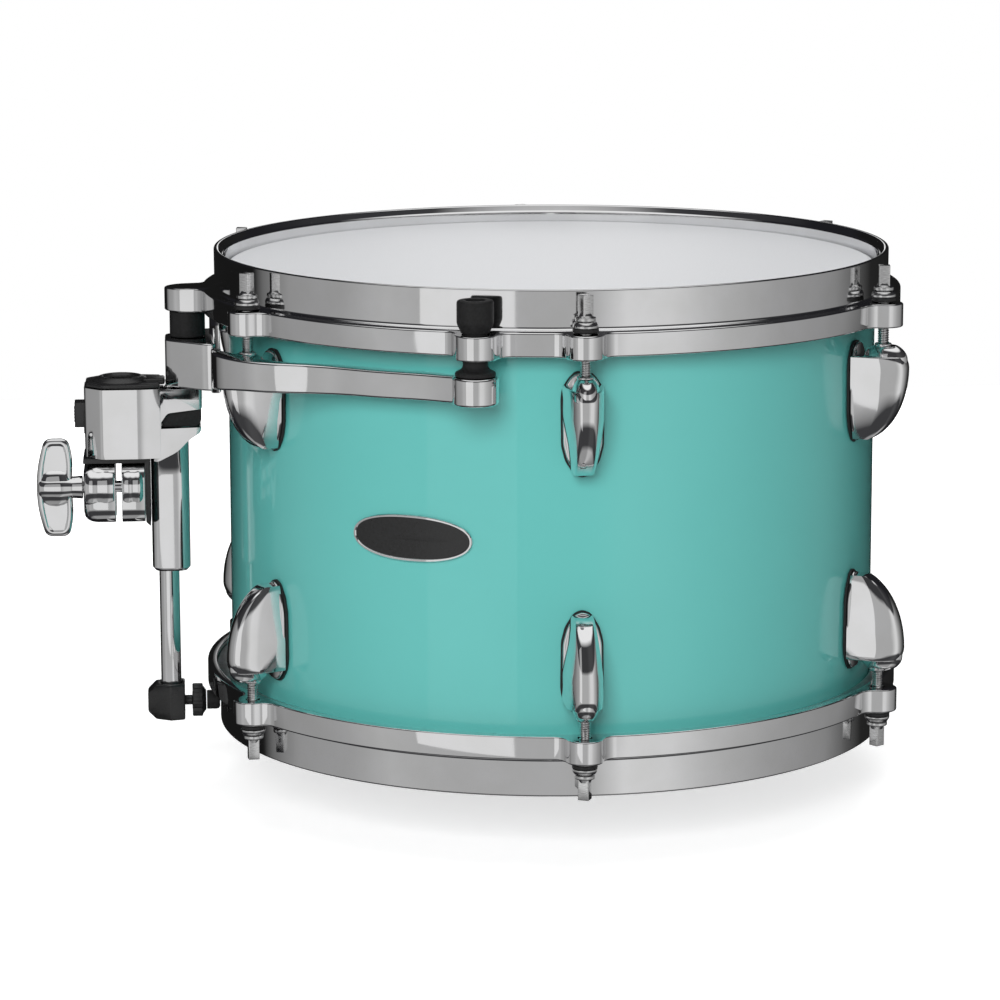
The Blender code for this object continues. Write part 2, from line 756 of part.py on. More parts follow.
def washers_mesh():
    """Coned steel washer bonded to the nylon washer below it, which lies on the ear."""
    inset = 0.6 * MM
    joint = NYLON_LOW + NYLON_TALL
    profile = [
        (ROD_COLLAR + 0.2 * MM, STEEL_LOW + WASHER_TALL),
        (WASHER_RADIUS, STEEL_LOW),
        (WASHER_RADIUS - inset, STEEL_LOW),
        (WASHER_RADIUS - inset, joint),
        (WASHER_RADIUS, joint),
        (WASHER_RADIUS, NYLON_LOW),
        (ROD_BORE, NYLON_LOW),
        (ROD_BORE, STEEL_LOW + WASHER_TALL),
    ]
    return turned("washers", profile, ROD_SIDES, closed=True)


def make_rods():
    rod = rod_mesh()
    washers = washers_mesh()
    for side, parent, flip in (("upper", UPPER, 1), ("lower", LOWER, -1)):
        for number, angle in enumerate(station_angles(), 1):
            at_station = radial(flip * angle) @ outward(ROD_CIRCLE)
            place(f"{side}_rod_{number}", rod, CHROME, parent, at_station)
            place(f"{side}_washer_{number}", washers, STEEL, parent, at_station)


def make_vent():
    """Moulded grommet that lines the vent hole: a flange outside, a neck and a flange inside."""
    back = SHELL_INNER - 1.3 * MM
    profile = [
        (VENT_HOLE, SHELL_RADIUS + 2.2 * MM),
        (VENT_FLANGE - 1.2 * MM, SHELL_RADIUS + 2.2 * MM),
        (VENT_FLANGE, SHELL_RADIUS + 1.2 * MM),
        (VENT_FLANGE, SHELL_RADIUS + FIT),
        (VENT_NECK, SHELL_RADIUS + FIT),
        (VENT_NECK, back + 0.7 * MM),
        (VENT_BACK_FLANGE, back + 0.7 * MM),
        (VENT_BACK_FLANGE, back - 1.0 * MM),
        (VENT_HOLE, back - 1.0 * MM),
    ]
    mesh = moved(turned("vent", profile, 12, closed=True), along((1, 0, 0), (0, 0, 0)))
    place("air_vent", mesh, RUBBER, matrix=raised(MID - VENT_DROP) @ radial(VENT_ANGLE))


def smooth_path(points, per_span):
    """A Catmull-Rom curve through the points, its ends included."""
    padded = [points[0], *points, points[-1]]
    path = []
    for near in zip(padded, padded[1:], padded[2:], padded[3:]):
        a, b, c, d = (Vector(point) for point in near)
        for step in range(per_span):
            t = step / per_span
            bend = (2 * a - 5 * b + 4 * c - d) * t**2 + (3 * b - a - 3 * c + d) * t**3
            path.append(tuple((2 * b + (c - a) * t + bend) / 2))
    path.append(tuple(points[-1]))
    return path


def bar_center_line():
    """Half of the bar's centre line, from the middle of the mount out to the eye near one lug.

    The bar runs straight behind the centre block, bulges round the lug that lies in its way and then
    follows the shell, close in, to its eye.
    """
    straight = BAR_FACE - BAR_THICK / 2
    spacing = 360.0 / STATIONS
    outward = [
        (0.500 * spacing, 15.6 * MM),
        (0.612 * spacing, 12.3 * MM),
        (0.692 * spacing, 5.0 * MM),
        (0.767 * spacing, -1.4 * MM),
        (0.850 * spacing, -3.7 * MM),
        (0.933 * spacing, -4.0 * MM),
        (1.050 * spacing, -3.4 * MM),
        (1.133 * spacing, -1.5 * MM),
    ]
    points = [(straight, y) for y in (0.0, BLOCK_HALF, (BLOCK_HALF + LUG_SIDE) / 2, LUG_SIDE - 3 * MM)]
    points += [polar(ROD_CIRCLE + offset, angle) for angle, offset in outward]
    points.append(polar(EYE_CIRCLE, MOUNT_SPREAD))
    return smooth_path(points, 2)


def bar_levels(distance):
    """Top and bottom of the bar, from the drum's middle, at a distance along Y from the mount's middle."""
    levels = [
        (0 * MM, BLOCK_TOP - 1.0 * MM, BLOCK_LOW + 1.0 * MM),
        (BLOCK_HALF + 8 * MM, BLOCK_TOP - 1.0 * MM, BLOCK_LOW + 1.0 * MM),
        (LUG_SIDE - 4.5 * MM, LUG_TOP + 0.4 * MM, EYE_TOP - 17.0 * MM),
        (LUG_SIDE + 25.5 * MM, LUG_TOP - 0.6 * MM, EYE_TOP - 14.4 * MM),
        (EYE_SIDE - 31 * MM, LUG_TOP - 0.7 * MM, EYE_TOP - 13.2 * MM),
        (EYE_SIDE - 13 * MM, LUG_TOP - 0.4 * MM, EYE_TOP - 12.6 * MM),
        (EYE_SIDE + 7 * MM, EYE_TOP - 0.2 * MM, EYE_TOP - EYE_TALL + 0.2 * MM),
    ]
    for (start, top_a, low_a), (end, top_b, low_b) in zip(levels, levels[1:]):
        if distance <= end:
            share = (distance - start) / (end - start)
            blend = share * share * (3 - 2 * share)
            return top_a + (top_b - top_a) * blend, low_a + (low_b - low_a) * blend
    return levels[-1][1:]


def bar_strip():
    """The bent bar itself: its centre line thickened both ways, each section at its own height."""
    half = bar_center_line()
    line = [(x, -y) for x, y in reversed(half[1:])] + half
    sections = []
    for i, (x, y) in enumerate(line):
        before = line[max(i - 1, 0)]
        after = line[min(i + 1, len(line) - 1)]
        length = math.hypot(after[0] - before[0], after[1] - before[1])
        normal = ((after[1] - before[1]) / length, -(after[0] - before[0]) / length)
        top, low = bar_levels(abs(y))
        half_thick = BAR_THICK / 2
        ends = [(x + normal[0] * half_thick * side, y + normal[1] * half_thick * side) for side in (1, -1)]
        sections.append([(*ends[0], low), (*ends[0], top), (*ends[1], top), (*ends[1], low)])
    return loft(sections)


def bar_lip(side):
    """Lens-shaped lip on the bar's bulge, over the top of the lug and clear of its rod."""
    spacing = 360.0 / STATIONS / 2
    inner = [(-8.0, 3.4 * MM), (-4.0, 6.1 * MM), (2.0, 6.3 * MM), (7.0, 6.1 * MM), (12.0, 3.8 * MM)]
    outer = [(9.0, 9.0 * MM), (4.0, 14.0 * MM), (-2.0, 15.4 * MM), (-6.0, 9.0 * MM)]
    outline = [polar(ROD_CIRCLE + offset, spacing + angle) for angle, offset in inner + outer]
    return plate("lip", [(x, side * y) for x, y in outline], LUG_TOP - 0.4 * MM, LUG_TOP + 0.7 * MM)


def make_arc_bar():
    """Bar with an eye at each end for the bushings and a block in the middle."""
    block = mirrored(
        [
            (BLOCK_FACE, BLOCK_NOSE),
            (BLOCK_FACE - 1.5 * MM, BLOCK_NOSE + 2.5 * MM),
            (BAR_FACE + 2.5 * MM, BLOCK_HALF - MM),
            (BAR_FACE - BAR_THICK / 2, BLOCK_HALF),
        ]
    )
    steps = [("UNION", plate("block", block, BLOCK_LOW, BLOCK_TOP))]
    holes = [moved(cylinder(BOLT_BORE, BLOCK_LOW - MM, BLOCK_TOP + MM, BOLT_SIDES), at_eye(0))]
    for side in (-1, 1):
        eye = moved(cylinder(EYE_RADIUS, EYE_TOP - EYE_TALL, EYE_TOP, 16), at_eye(side))
        steps.append(("UNION", eye))
        steps.append(("UNION", bar_lip(side)))
        drill = cylinder(BOLT_BORE, EYE_TOP - EYE_TALL - MM, EYE_TOP + MM, BOLT_SIDES)
        holes.append(moved(drill, at_eye(side)))
    steps.append(("DIFFERENCE", group(holes)))
    place("arc_bar", combine(bar_strip(), steps), CHROME, MOUNT)


def at_eye(side):
    """Where a bushing stands: 0 is the middle of the mount, -1 and 1 are the two ends of the bar."""
    return radial(side * MOUNT_SPREAD) @ outward(EYE_CIRCLE)


def make_bushings():
    """Rubber spool through each end ear, and under the middle ear a rubber barrel with a stud at each end."""
    top = FLANGE_TOP + FIT + BUSHING_TALL
    recess = BOLT_HEAD + 2 * FIT
    floor = top - BUSHING_RECESS
    foot = EYE_TOP + FIT
    skirt = MOUNT_EAR_RADIUS - 0.4 * MM
    spool = [
        (BUSHING_RADIUS - 1.2 * MM, top),
        (BUSHING_RADIUS, top - 1.2 * MM),
        (BUSHING_RADIUS, FLANGE_TOP + FIT + 4.0 * MM),
        (BUSHING_RADIUS - 1.9 * MM, FLANGE_TOP + FIT),
        (BUSHING_NECK, FLANGE_TOP + FIT),
        (BUSHING_NECK, foot + 2.4 * MM),
        (skirt, foot + 0.6 * MM),
        (skirt, foot),
        (BOLT_BORE, foot),
        (BOLT_BORE, floor),
        (recess, floor),
        (recess, top),
    ]
    spool_mesh = turned("spool", spool, 12, closed=True)
    seat = floor + FIT
    tip = EYE_TOP - EYE_TALL + 1.0 * MM
    bolt = [
        (0, seat + BOLT_HEAD_TALL),
        (BOLT_HEAD, seat + BOLT_HEAD_TALL),
        (BOLT_HEAD, seat),
        (BOLT_RADIUS, seat),
        (BOLT_RADIUS, tip),
        (0, tip),
    ]
    bolt_mesh = turned("bolt", bolt, BOLT_SIDES)
    for name, side in (("rear", -1), ("front", 1)):
        place(f"{name}_bushing", spool_mesh, RUBBER, MOUNT, at_eye(side))
        place(f"{name}_bushing_bolt", bolt_mesh, STEEL, MOUNT, at_eye(side))

    middle = [
        (0, FLANGE_LOW + STUD_REACH),
        (BOLT_RADIUS, FLANGE_LOW + STUD_REACH),
        (BOLT_RADIUS, FLANGE_LOW - FIT),
        (BUSHING_RADIUS, FLANGE_LOW - FIT),
        (BUSHING_RADIUS, BLOCK_TOP + FIT),
        (BOLT_RADIUS, BLOCK_TOP + FIT),
        (BOLT_RADIUS, ARM_LOW + FIT),
        (0, ARM_LOW + FIT),
    ]
    place("middle_bushing", turned("barrel", middle, 12), RUBBER, MOUNT, at_eye(0))


def octagon(flats, center):
    corners = [polar(flats / 2 / math.cos(math.pi / 8), 22.5 + 45 * k) for k in range(8)]
    return [(center + x, y) for x, y in corners]


def make_bracket():
    """Casting: barrel for the L-rod, upper arm under the block, and the tube of the stabiliser."""
    barrel = plate("barrel", octagon(BARREL_FLATS, BARREL_AT), BARREL_LOW, BARREL_TOP)
    inside = BARREL_BACK + 3.0 * MM
    arm = [
        (inside, BARREL_TOP - 0.4 * MM),
        (inside, MOUTH_LOW - MM),
        (MOUTH_BACK, MOUTH_LOW - MM),
        (MOUTH_BACK, MOUTH_LOW + MOUTH_TIP),
        (ARM_TIP, ARM_LOW),
        (ARM_TIP, BARREL_TOP - 0.4 * MM),
    ]
    upper_arm = plate("arm", arm, -ARM_WIDTH / 2, ARM_WIDTH / 2, "Y")
    shoulder = [
        (inside, MOUTH_LOW),
        (inside, BARREL_LOW + 0.2 * MM),
        (TUBE_AT + 6.0 * MM, BARREL_LOW - 6.0 * MM),
        (TUBE_AT, TUBE_LOW + 24.0 * MM),
        (TUBE_AT - 0.5 * TUBE_RADIUS, MOUTH_LOW - 11.0 * MM),
        (TUBE_AT - TUBE_RADIUS - 0.4 * MM, MOUTH_LOW - 5.0 * MM),
        (ARM_TIP + 1.0 * MM, MOUTH_LOW - 2.5 * MM),
        (ARM_TIP + 0.4 * MM, MOUTH_LOW),
    ]
    lower_arm = plate("shoulder", shoulder, -SHOULDER_WIDTH / 2, SHOULDER_WIDTH / 2, "Y")
    tube = moved(cylinder(TUBE_RADIUS, TUBE_LOW, MOUTH_LOW - 2 * FIT, 16), outward(TUBE_AT))
    bore = moved(cylinder(STAY_BORE, TUBE_LOW - MM, STAY_TOP + 6 * MM, 16), outward(STAY_AT))
    l_bore = moved(cylinder(L_ROD_BORE, BARREL_LOW - MM, BARREL_TOP + MM, 12), outward(L_ROD_AT))
    half = BUTTON_WIDTH / 2 + 1.2 * FIT
    tall = BUTTON_TALL / 2 + 1.2 * FIT
    pocket_depth = BUTTON_DEPTH + BUTTON_TRAVEL + 2 * FIT
    low, high = BUTTON_HEIGHT - tall, BUTTON_HEIGHT + tall
    pocket = box((BARREL_FACE - pocket_depth, -half, low), (BARREL_FACE + MM, half, high))
    bolt = moved(cylinder(BOLT_BORE, ARM_LOW - MM, BARREL_TOP + MM, BOLT_SIDES), at_eye(0))
    steps = [
        ("UNION", upper_arm),
        ("UNION", lower_arm),
        ("UNION", tube),
        ("DIFFERENCE", bore),
        ("DIFFERENCE", l_bore),
        ("DIFFERENCE", pocket),
        ("DIFFERENCE", bolt),
    ]
    place("mount_bracket", combine(barrel, steps), CHROME, MOUNT)


def make_insert():
    """Rubber insert in the bracket's mouth, between its two arms."""
    back = MOUTH_BACK - FIT
    clear = 1.5 * FIT
    outline = [
        (ARM_TIP + 0.4 * MM, ARM_LOW - clear),
        (back, MOUTH_LOW + MOUTH_TIP - clear),
        (back, MOUTH_LOW + FIT),
        (ARM_TIP + 1.0 * MM, MOUTH_LOW + FIT),
        (ARM_TIP + 0.4 * MM, MOUTH_LOW + 1.5 * MM),
    ]
    mesh = plate("insert", outline, -INSERT_WIDTH / 2, INSERT_WIDTH / 2, "Y")
    place("bracket_insert", mesh, RUBBER, MOUNT)


def make_cap():
    """Black guide cap on top of the barrel, with the mouth for the L-rod."""
    low = BARREL_TOP + FIT
    base = plate("cap", octagon(BARREL_FLATS - 4 * FIT, BARREL_AT), low, low + CAP_BASE)
    profile = [
        (0, low + CAP_TALL),
        (CAP_RADIUS - CAP_EDGE, low + CAP_TALL),
        (CAP_RADIUS, low + CAP_TALL - CAP_EDGE * 0.65),
        (CAP_RADIUS, low + 1.0 * MM),
        (0, low + 1.0 * MM),
    ]
    at_rod = outward(L_ROD_AT)
    half = TONGUE_WIDTH / 2
    inner = BARREL_AT - CAP_RADIUS + CAP_EDGE
    tongue = box((BLOCK_FACE + 1.5 * FIT, -half, low), (inner, half, low + TONGUE_TALL))
    steps = [
        ("UNION", moved(turned("dome", profile, 16), at_rod)),
        ("UNION", tongue),
        ("DIFFERENCE", moved(cylinder(L_ROD_BORE, low - MM, low + CAP_TALL + MM, 12), at_rod)),
    ]
    place("bracket_cap", combine(base, steps), PLASTIC, MOUNT)


def make_button():
    """Sprung lock button in its pocket in the barrel's outer face."""
    half = BUTTON_WIDTH / 2
    edge = half - BUTTON_BEVEL
    mesh = plate(
        "button",
        mirrored([(-BUTTON_DEPTH, half), (BUTTON_REACH - BUTTON_BEVEL, half), (BUTTON_REACH, edge)]),
        -BUTTON_TALL / 2,
        BUTTON_TALL / 2,
    )
    place("lock_button", mesh, PLASTIC, MOUNT, Matrix.Translation((BARREL_FACE, 0, BUTTON_HEIGHT)))


def jaw_outline():
    """Section of both clamp jaws across the screw, as (y, z) with y towards the screw's side."""
    front = SCREW_SIDE + JAW_MARGIN
    rear = -JAW_REAR
    cut = JAW_CHAMFER
    return [
        (front, JAW_TOP - cut),
        (front - cut, JAW_TOP),
        (rear + cut / 2, JAW_TOP),
        (rear, JAW_TOP - cut / 2),
        (rear, JAW_LOW + cut / 2),
        (rear + cut / 2, JAW_LOW),
        (front - cut, JAW_LOW),
        (front, JAW_LOW + cut),
    ]


def make_clamp():
    """Fixed seat and moving jaw that grip the L-rod, and the black liner behind and above them."""
    l_bore = moved(cylinder(L_ROD_BORE, JAW_LOW - MM, JAW_TOP + MM, 12), outward(L_ROD_AT))
    on_screw = along((1, 0, 0), (0, SCREW_SIDE, SCREW_HEIGHT))
    bore_radius = (WING_SCREW + FIT) / math.cos(math.pi / 8)
    seat = plate("seat", jaw_outline(), SEAT_BACK, SEAT_FACE, "X")
    seat_bore = moved(cylinder(bore_radius, SEAT_BACK - MM, SEAT_FACE + MM, 8), on_screw)
    place("clamp_seat", combine(seat, [("DIFFERENCE", l_bore), ("DIFFERENCE", seat_bore)]), CHROME, MOUNT)

    jaw = plate("jaw", jaw_outline(), JAW_FACE, JAW_OUT, "X")
    boss_at = along((1, 0, 0), (0, SCREW_SIDE + BOSS_RADIUS, SCREW_HEIGHT))
    boss = moved(cylinder(BOSS_RADIUS, JAW_FACE + 1.0 * MM, JAW_OUT - 1.0 * MM, 12), boss_at)
    jaw_bore = moved(cylinder(bore_radius, JAW_FACE - MM, JAW_OUT + MM, 8), on_screw)
    cuts = [("UNION", boss), ("DIFFERENCE", l_bore.copy()), ("DIFFERENCE", jaw_bore)]
    place("clamp_jaw", combine(jaw, cuts), CHROME, MOUNT)

    liner = [
        (LINER_BACK, LINER_TOP),
        (LINER_BACK, JAW_LOW - 1.6 * MM),
        (LINER_BACK + LINER, JAW_LOW + 0.4 * MM),
        (LINER_BACK + LINER, LINER_TOP - LINER),
        (JAW_OUT, LINER_TOP - LINER),
        (JAW_OUT, LINER_TOP),
    ]
    plate_mesh = plate("liner", liner, -JAW_REAR, JAW_REAR, "Y")
    drill = moved(cylinder(L_ROD_BORE, JAW_TOP, LINER_TOP + MM, 12), outward(L_ROD_AT))
    place("clamp_liner", combine(plate_mesh, [("DIFFERENCE", drill)]), PLASTIC, MOUNT)


def make_wing_screw():
    """Wing screw on its own axis: thread through both jaws, hub and a flat wing across it."""
    thread_end = SEAT_BACK + 2.4 * MM - WING_AT
    hub_front = JAW_OUT + FIT - WING_AT
    profile = [
        (0, HUB_REACH),
        (HUB_RADIUS - HUB_BEVEL, HUB_REACH),
        (HUB_RADIUS, HUB_REACH - 2 * HUB_BEVEL),
        (HUB_RADIUS, hub_front),
        (WING_SCREW, hub_front),
        (WING_SCREW, thread_end),
        (0, thread_end),
    ]
    half = WING_SPAN / 2
    wing = [
        (0.0, HUB_RADIUS),
        (0.12 * WING_WIDTH, 0.9 * half),
        (0.28 * WING_WIDTH, half),
        (0.68 * WING_WIDTH, half),
        (0.9 * WING_WIDTH, 0.86 * half),
        (WING_WIDTH, HUB_RADIUS - HUB_BEVEL),
    ]
    outline = wing + [(x, -z) for x, z in reversed(wing)]
    shaft = moved(turned("thread", profile, 12), along((1, 0, 0), (0, 0, 0)))
    blade = plate("blade", outline, -WING_THICK / 2, WING_THICK / 2, "Y")
    mesh = combine(shaft, [("UNION", blade)])
    place("wing_screw", mesh, CHROME, MOUNT, Matrix.Translation((WING_AT, SCREW_SIDE, SCREW_HEIGHT)))


def make_stabiliser():
    """Rod that slides in the tube, with its foot block, thumb screw and rubber tip."""
    rod = cylinder(STAY_RADIUS, STAY_END, STAY_TOP, 16)
    place("stabiliser_rod", rod, CHROME, MOUNT, outward(STAY_AT))

    top = FOOT_LOW + FOOT_TALL
    sections = []
    bevel = FOOT_BEVEL
    for height, inset in ((FOOT_LOW, bevel), (FOOT_LOW + bevel, 0.0), (top - bevel, 0.0), (top, bevel)):
        out = FOOT_OUT - inset
        outline = mirrored([(out, 5.0 * MM), (STAY_AT + 0.4 * MM, 9.2 * MM), (FOOT_FACE, 7.4 * MM)])
        sections.append([(x, y, height) for x, y in outline])
    socket = moved(cylinder(STAY_RADIUS + 1.3 * FIT, STAY_END - FIT, top + MM, 16), outward(STAY_AT))
    drill = cylinder((STAY_SCREW + FIT) / math.cos(math.pi / 8), FOOT_FACE - MM, FOOT_OUT - 1.0 * MM, 8)
    moved(drill, along((1, 0, 0), (0, 0, STAY_SCREW_HEIGHT)))
    block = combine(loft(sections), [("DIFFERENCE", socket), ("DIFFERENCE", drill)])
    place("foot_block", block, PLASTIC, MOUNT)

    tip = [
        (0, TIP_BACK),
        (TIP_RADIUS, TIP_BACK),
        (TIP_RADIUS, TIP_FACE + TIP_BEVEL),
        (TIP_RADIUS - TIP_BEVEL, TIP_FACE),
        (0, TIP_FACE),
    ]
    at_screw = Matrix.Translation((0, 0, STAY_SCREW_HEIGHT)) @ along((1, 0, 0), (0, 0, 0))
    pin_end = TIP_BACK - TIP_PIN_LENGTH
    socket = cylinder((TIP_PIN + FIT) / math.cos(math.pi / 8), pin_end - FIT, TIP_BACK + MM, 8)
    mesh = combine(turned("tip", tip, 12), [("DIFFERENCE", socket)])
    place("stabiliser_tip", moved(mesh, at_screw), RUBBER, MOUNT)

    thread_end = FOOT_FACE + 11.0 * MM
    screw = [
        (0, thread_end),
        (STAY_SCREW, thread_end),
        (STAY_SCREW, KNOB_BACK),
        (KNOB_RADIUS - 0.6 * MM, KNOB_BACK),
        (KNOB_RADIUS, KNOB_BACK - 0.6 * MM),
        (KNOB_RADIUS, KNOB_FRONT + 2.6 * MM),
        (TIP_RADIUS, KNOB_FRONT),
        (TIP_PIN, KNOB_FRONT),
        (TIP_PIN, pin_end),
        (0, pin_end),
    ]
    place("stabiliser_screw", moved(turned("screw", screw, 16), at_screw), PLASTIC, MOUNT)


def main():
    make_shell()
    make_heads()
    make_hoops()
    make_lugs()
    make_rods()
    make_vent()
    make_arc_bar()
    make_bushings()
    make_bracket()
    make_insert()
    make_cap()
    make_button()
    make_clamp()
    make_wing_screw()
    make_stabiliser()


main()
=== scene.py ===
"""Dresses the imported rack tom: fine surfaces, materials, studio light and the photograph's camera.

Sizes are in millimetres, and become metres where vertices and places are made. Camera, lamps and floor are
in metres. Heights are measured from the drum's middle, so that one shape serves the top and the bottom. In
mount space, x runs outwards from the drum's axis through the mount's middle, y to its front and z upwards.
"""

import json
import math

import bmesh
import bpy
from mathutils import Matrix, Vector


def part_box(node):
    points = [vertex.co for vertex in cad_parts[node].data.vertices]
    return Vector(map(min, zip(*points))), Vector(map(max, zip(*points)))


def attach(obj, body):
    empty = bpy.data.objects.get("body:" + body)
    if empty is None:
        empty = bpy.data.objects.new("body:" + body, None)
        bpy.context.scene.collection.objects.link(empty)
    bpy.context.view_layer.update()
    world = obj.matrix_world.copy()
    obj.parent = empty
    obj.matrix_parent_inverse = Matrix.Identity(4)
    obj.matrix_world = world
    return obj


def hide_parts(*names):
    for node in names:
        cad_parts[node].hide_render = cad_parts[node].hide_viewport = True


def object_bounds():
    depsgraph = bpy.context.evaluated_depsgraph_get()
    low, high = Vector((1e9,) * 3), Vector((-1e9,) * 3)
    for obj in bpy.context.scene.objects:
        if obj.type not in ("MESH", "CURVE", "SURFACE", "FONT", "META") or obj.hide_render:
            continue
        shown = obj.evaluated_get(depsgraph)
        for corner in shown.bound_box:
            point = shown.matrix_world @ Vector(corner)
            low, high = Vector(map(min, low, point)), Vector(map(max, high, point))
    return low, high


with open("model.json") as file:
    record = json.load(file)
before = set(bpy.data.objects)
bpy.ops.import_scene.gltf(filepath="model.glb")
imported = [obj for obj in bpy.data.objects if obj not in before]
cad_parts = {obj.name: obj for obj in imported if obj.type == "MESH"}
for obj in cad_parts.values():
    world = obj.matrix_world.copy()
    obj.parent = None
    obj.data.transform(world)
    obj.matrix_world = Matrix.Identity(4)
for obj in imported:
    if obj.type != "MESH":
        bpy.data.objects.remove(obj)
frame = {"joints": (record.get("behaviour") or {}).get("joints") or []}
CAD_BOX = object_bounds()

MM = 0.001
GAP = 0.3
STATIONS = 6
FIRST_STATION = -90.0
SPACING = 360.0 / STATIONS
RING_STEPS = 360

# Sizes read from the frame
def box(node):
    return [[value / MM for value in corner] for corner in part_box(node)]


SHELL_BOX = box("shell")
MID = (SHELL_BOX[0][2] + SHELL_BOX[1][2]) / 2


def low_of(node):
    return box(node)[0][2] - MID


def top_of(node):
    return box(node)[1][2] - MID


SHELL_RADIUS = SHELL_BOX[1][0]
SHELL_HALF = top_of("shell")
RIM = top_of("top_hoop")
FLANGE_LOW = low_of("top_hoop")
LUG_TOP = top_of("upper_lug_1")
LUG_LOW = low_of("upper_lug_1")
KEY_TOP = top_of("upper_rod_1")
ROD_END = low_of("upper_rod_1")
WASHER_LOW = low_of("upper_washer_1")
WASHER_TOP = top_of("upper_washer_1")
ROD_CIRCLE = -(box("upper_rod_1")[0][1] + box("upper_rod_1")[1][1]) / 2

# Shell and heads
SHELL_WALL = 6
BEARING_IN = 1.5
HEAD_FACE = RIM - 7.7
FILM = 0.3

# Oval plate
OVAL_ANGLE = -119.1
OVAL_WIDE = 58
OVAL_TALL = 21

# Hoops, their ears and how closely a section follows another
BAND_INNER = 152.5
BAND_OUTER = 157
FLANGE_OUTER = 162.75
FLANGE_TOP = FLANGE_LOW + 11.2
FLANGE_FALL = 0.5
REBATE = 158.4
REBATE_TOP = FLANGE_TOP - 0.8
EAR_RADIUS = 8
EAR_CENTER = ROD_CIRCLE + 0.8
EAR_FILLET = 7
MOUNT_EAR_RADIUS = 9.2
MIDDLE_EAR_RADIUS = 10.4
HOOP_STEP = 1.5
EAR_STEP = 0.2

# Rods and lugs
ROD_RADIUS = 2.6
ROD_PITCH = 1.058
KEY_WIDTH = 5
KEY_TURN = 24
COLLAR_LOW = WASHER_TOP + GAP
COLLAR_RADIUS = 4.6
WASHER_RADIUS = 5.65
WASHER_BORE = 2.9
NYLON_TALL = 1.8
LUG_OUT = 177
LUG_WIDEST = LUG_TOP - 11.2
LUG_BACK = SHELL_RADIUS + GAP
LUG_SEAM = LUG_BACK + 1
PLATE_FRONT = 154
PLATE_HALF = 9.1

# Arc bar and bushings
MOUNT_SPREAD = 73.9
EYE_CIRCLE = 169.7
EYE_RADIUS = 10
EYE_SIDE = EYE_CIRCLE * math.sin(math.radians(MOUNT_SPREAD))
LUG_SIDE = ROD_CIRCLE * math.sin(math.pi / STATIONS)
EYE_TOP = low_of("front_bushing") - GAP
EYE_LOW = EYE_TOP - 12.2
BAR_THICK = 4.5
BAR_FACE = ROD_CIRCLE - 5.8
BLOCK_LOW = top_of("mount_bracket") + GAP
BLOCK_TOP = BLOCK_LOW + 21.8
BLOCK_FACE = BAR_FACE + 21
BLOCK_HALF = 26
BUSHING_TOP = top_of("front_bushing")
BUSHING_RADIUS = 8

# Bracket: the barrel of the L-rod, the arm to the mouth and the tube of the stabiliser
BARREL_TOP = BLOCK_LOW - GAP
BARREL_LOW = BARREL_TOP - 32.5
BARREL_FLATS = 35
L_ROD_AT = 201
L_ROD_BORE = 5.8
BARREL_AT = L_ROD_AT - 0.5
BARREL_FACE = BARREL_AT + BARREL_FLATS / 2
BARREL_BACK = BARREL_AT - BARREL_FLATS / 2
BARREL_BEND = BARREL_AT - 8.4
ARM_LOW = BARREL_TOP - 10.2
ARM_TIP = EYE_CIRCLE - 6.2
ARM_TIP_HALF = 12.4
INSERT_HALF = 12
MOUTH_LOW = ARM_LOW - 8.6
TUBE_AT = EYE_CIRCLE + 9.2
TUBE_RADIUS = 8.95
TUBE_LOW = low_of("mount_bracket")
BUTTON_HEIGHT = BARREL_LOW + 19

# Clamp and wing screw
LINER_TOP = BARREL_LOW - GAP
LINER = 2.2
LINER_HALF = 14
JAW_TOP = LINER_TOP - LINER - GAP
JAW_LOW = JAW_TOP - 28
JAW_MIDDLE = (JAW_TOP + JAW_LOW) / 2
LINER_BACK = TUBE_AT + TUBE_RADIUS + 0.27
SEAT_BACK = LINER_BACK + LINER + GAP
SEAT_FACE = L_ROD_AT + GAP
JAW_FACE = SEAT_FACE + 3
JAW_OUT = JAW_FACE + 14.7
SCREW_SIDE = 11.35
SCREW_HEIGHT = JAW_MIDDLE + 3
BOSS_RADIUS = 10.3
WING_AT = JAW_OUT + 4.6
WING_SPAN = 46
WING_WIDTH = 17

# Stabiliser
STAY_AT = TUBE_AT + 1.2
STAY_RADIUS = 4.75
STAY_TOP = top_of("stabiliser_rod")
STAY_END = low_of("stabiliser_rod")
FOOT_LOW = low_of("foot_block")
FOOT_TOP = top_of("foot_block")
FOOT_SLOPE = 3.8
STAY_SCREW_HEIGHT = (low_of("stabiliser_tip") + top_of("stabiliser_tip")) / 2
TIP_FACE = BAND_OUTER + GAP
TIP_BACK = TIP_FACE + 6.2
KNOB_FRONT = TIP_BACK + GAP
KNOB_BACK = KNOB_FRONT + 6.6
KNOB_LOBES = 8
FOOT_FACE = KNOB_BACK + 3.4
FOOT_OUT = STAY_AT + 11.1

# Camera and floor. The floor lies under the lowest place that the stabiliser reaches.
CAMERA_AT = (-0.1645, -1.8135, 0.4480)
CAMERA_PAN = 0.0773
CAMERA_TILT = 0.1918
CAMERA_ROLL = -0.0022
CAMERA_LENS = 141.32
STAY_DROP = next(j["range_m"][0] for j in frame["joints"] if j["name"] == "stabiliser_slide")
FLOOR = min(CAD_BOX[0].z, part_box("foot_block")[0].z) + STAY_DROP - 0.5 * MM
FLOOR_HALF = 1.1
FLOOR_TONE = 0.70

# Lamps: name, place, width and height, watts. Only mirrors see the card, beside the drum's left.
LAMPS = [
    ("key", (-0.6, -2.4, 1.2), (1.2, 1.2), 50),
    ("top", (0.1, 0.3, 2.3), (1.6, 1.6), 26),
    ("back", (0.5, 2.4, 0.45), (1.4, 1.0), 24),
]
CARD_AT = (-0.395, -0.62, 0.22)
CARD_SIZE = (0.45, 0.80)
CARD_POWER = 0.40

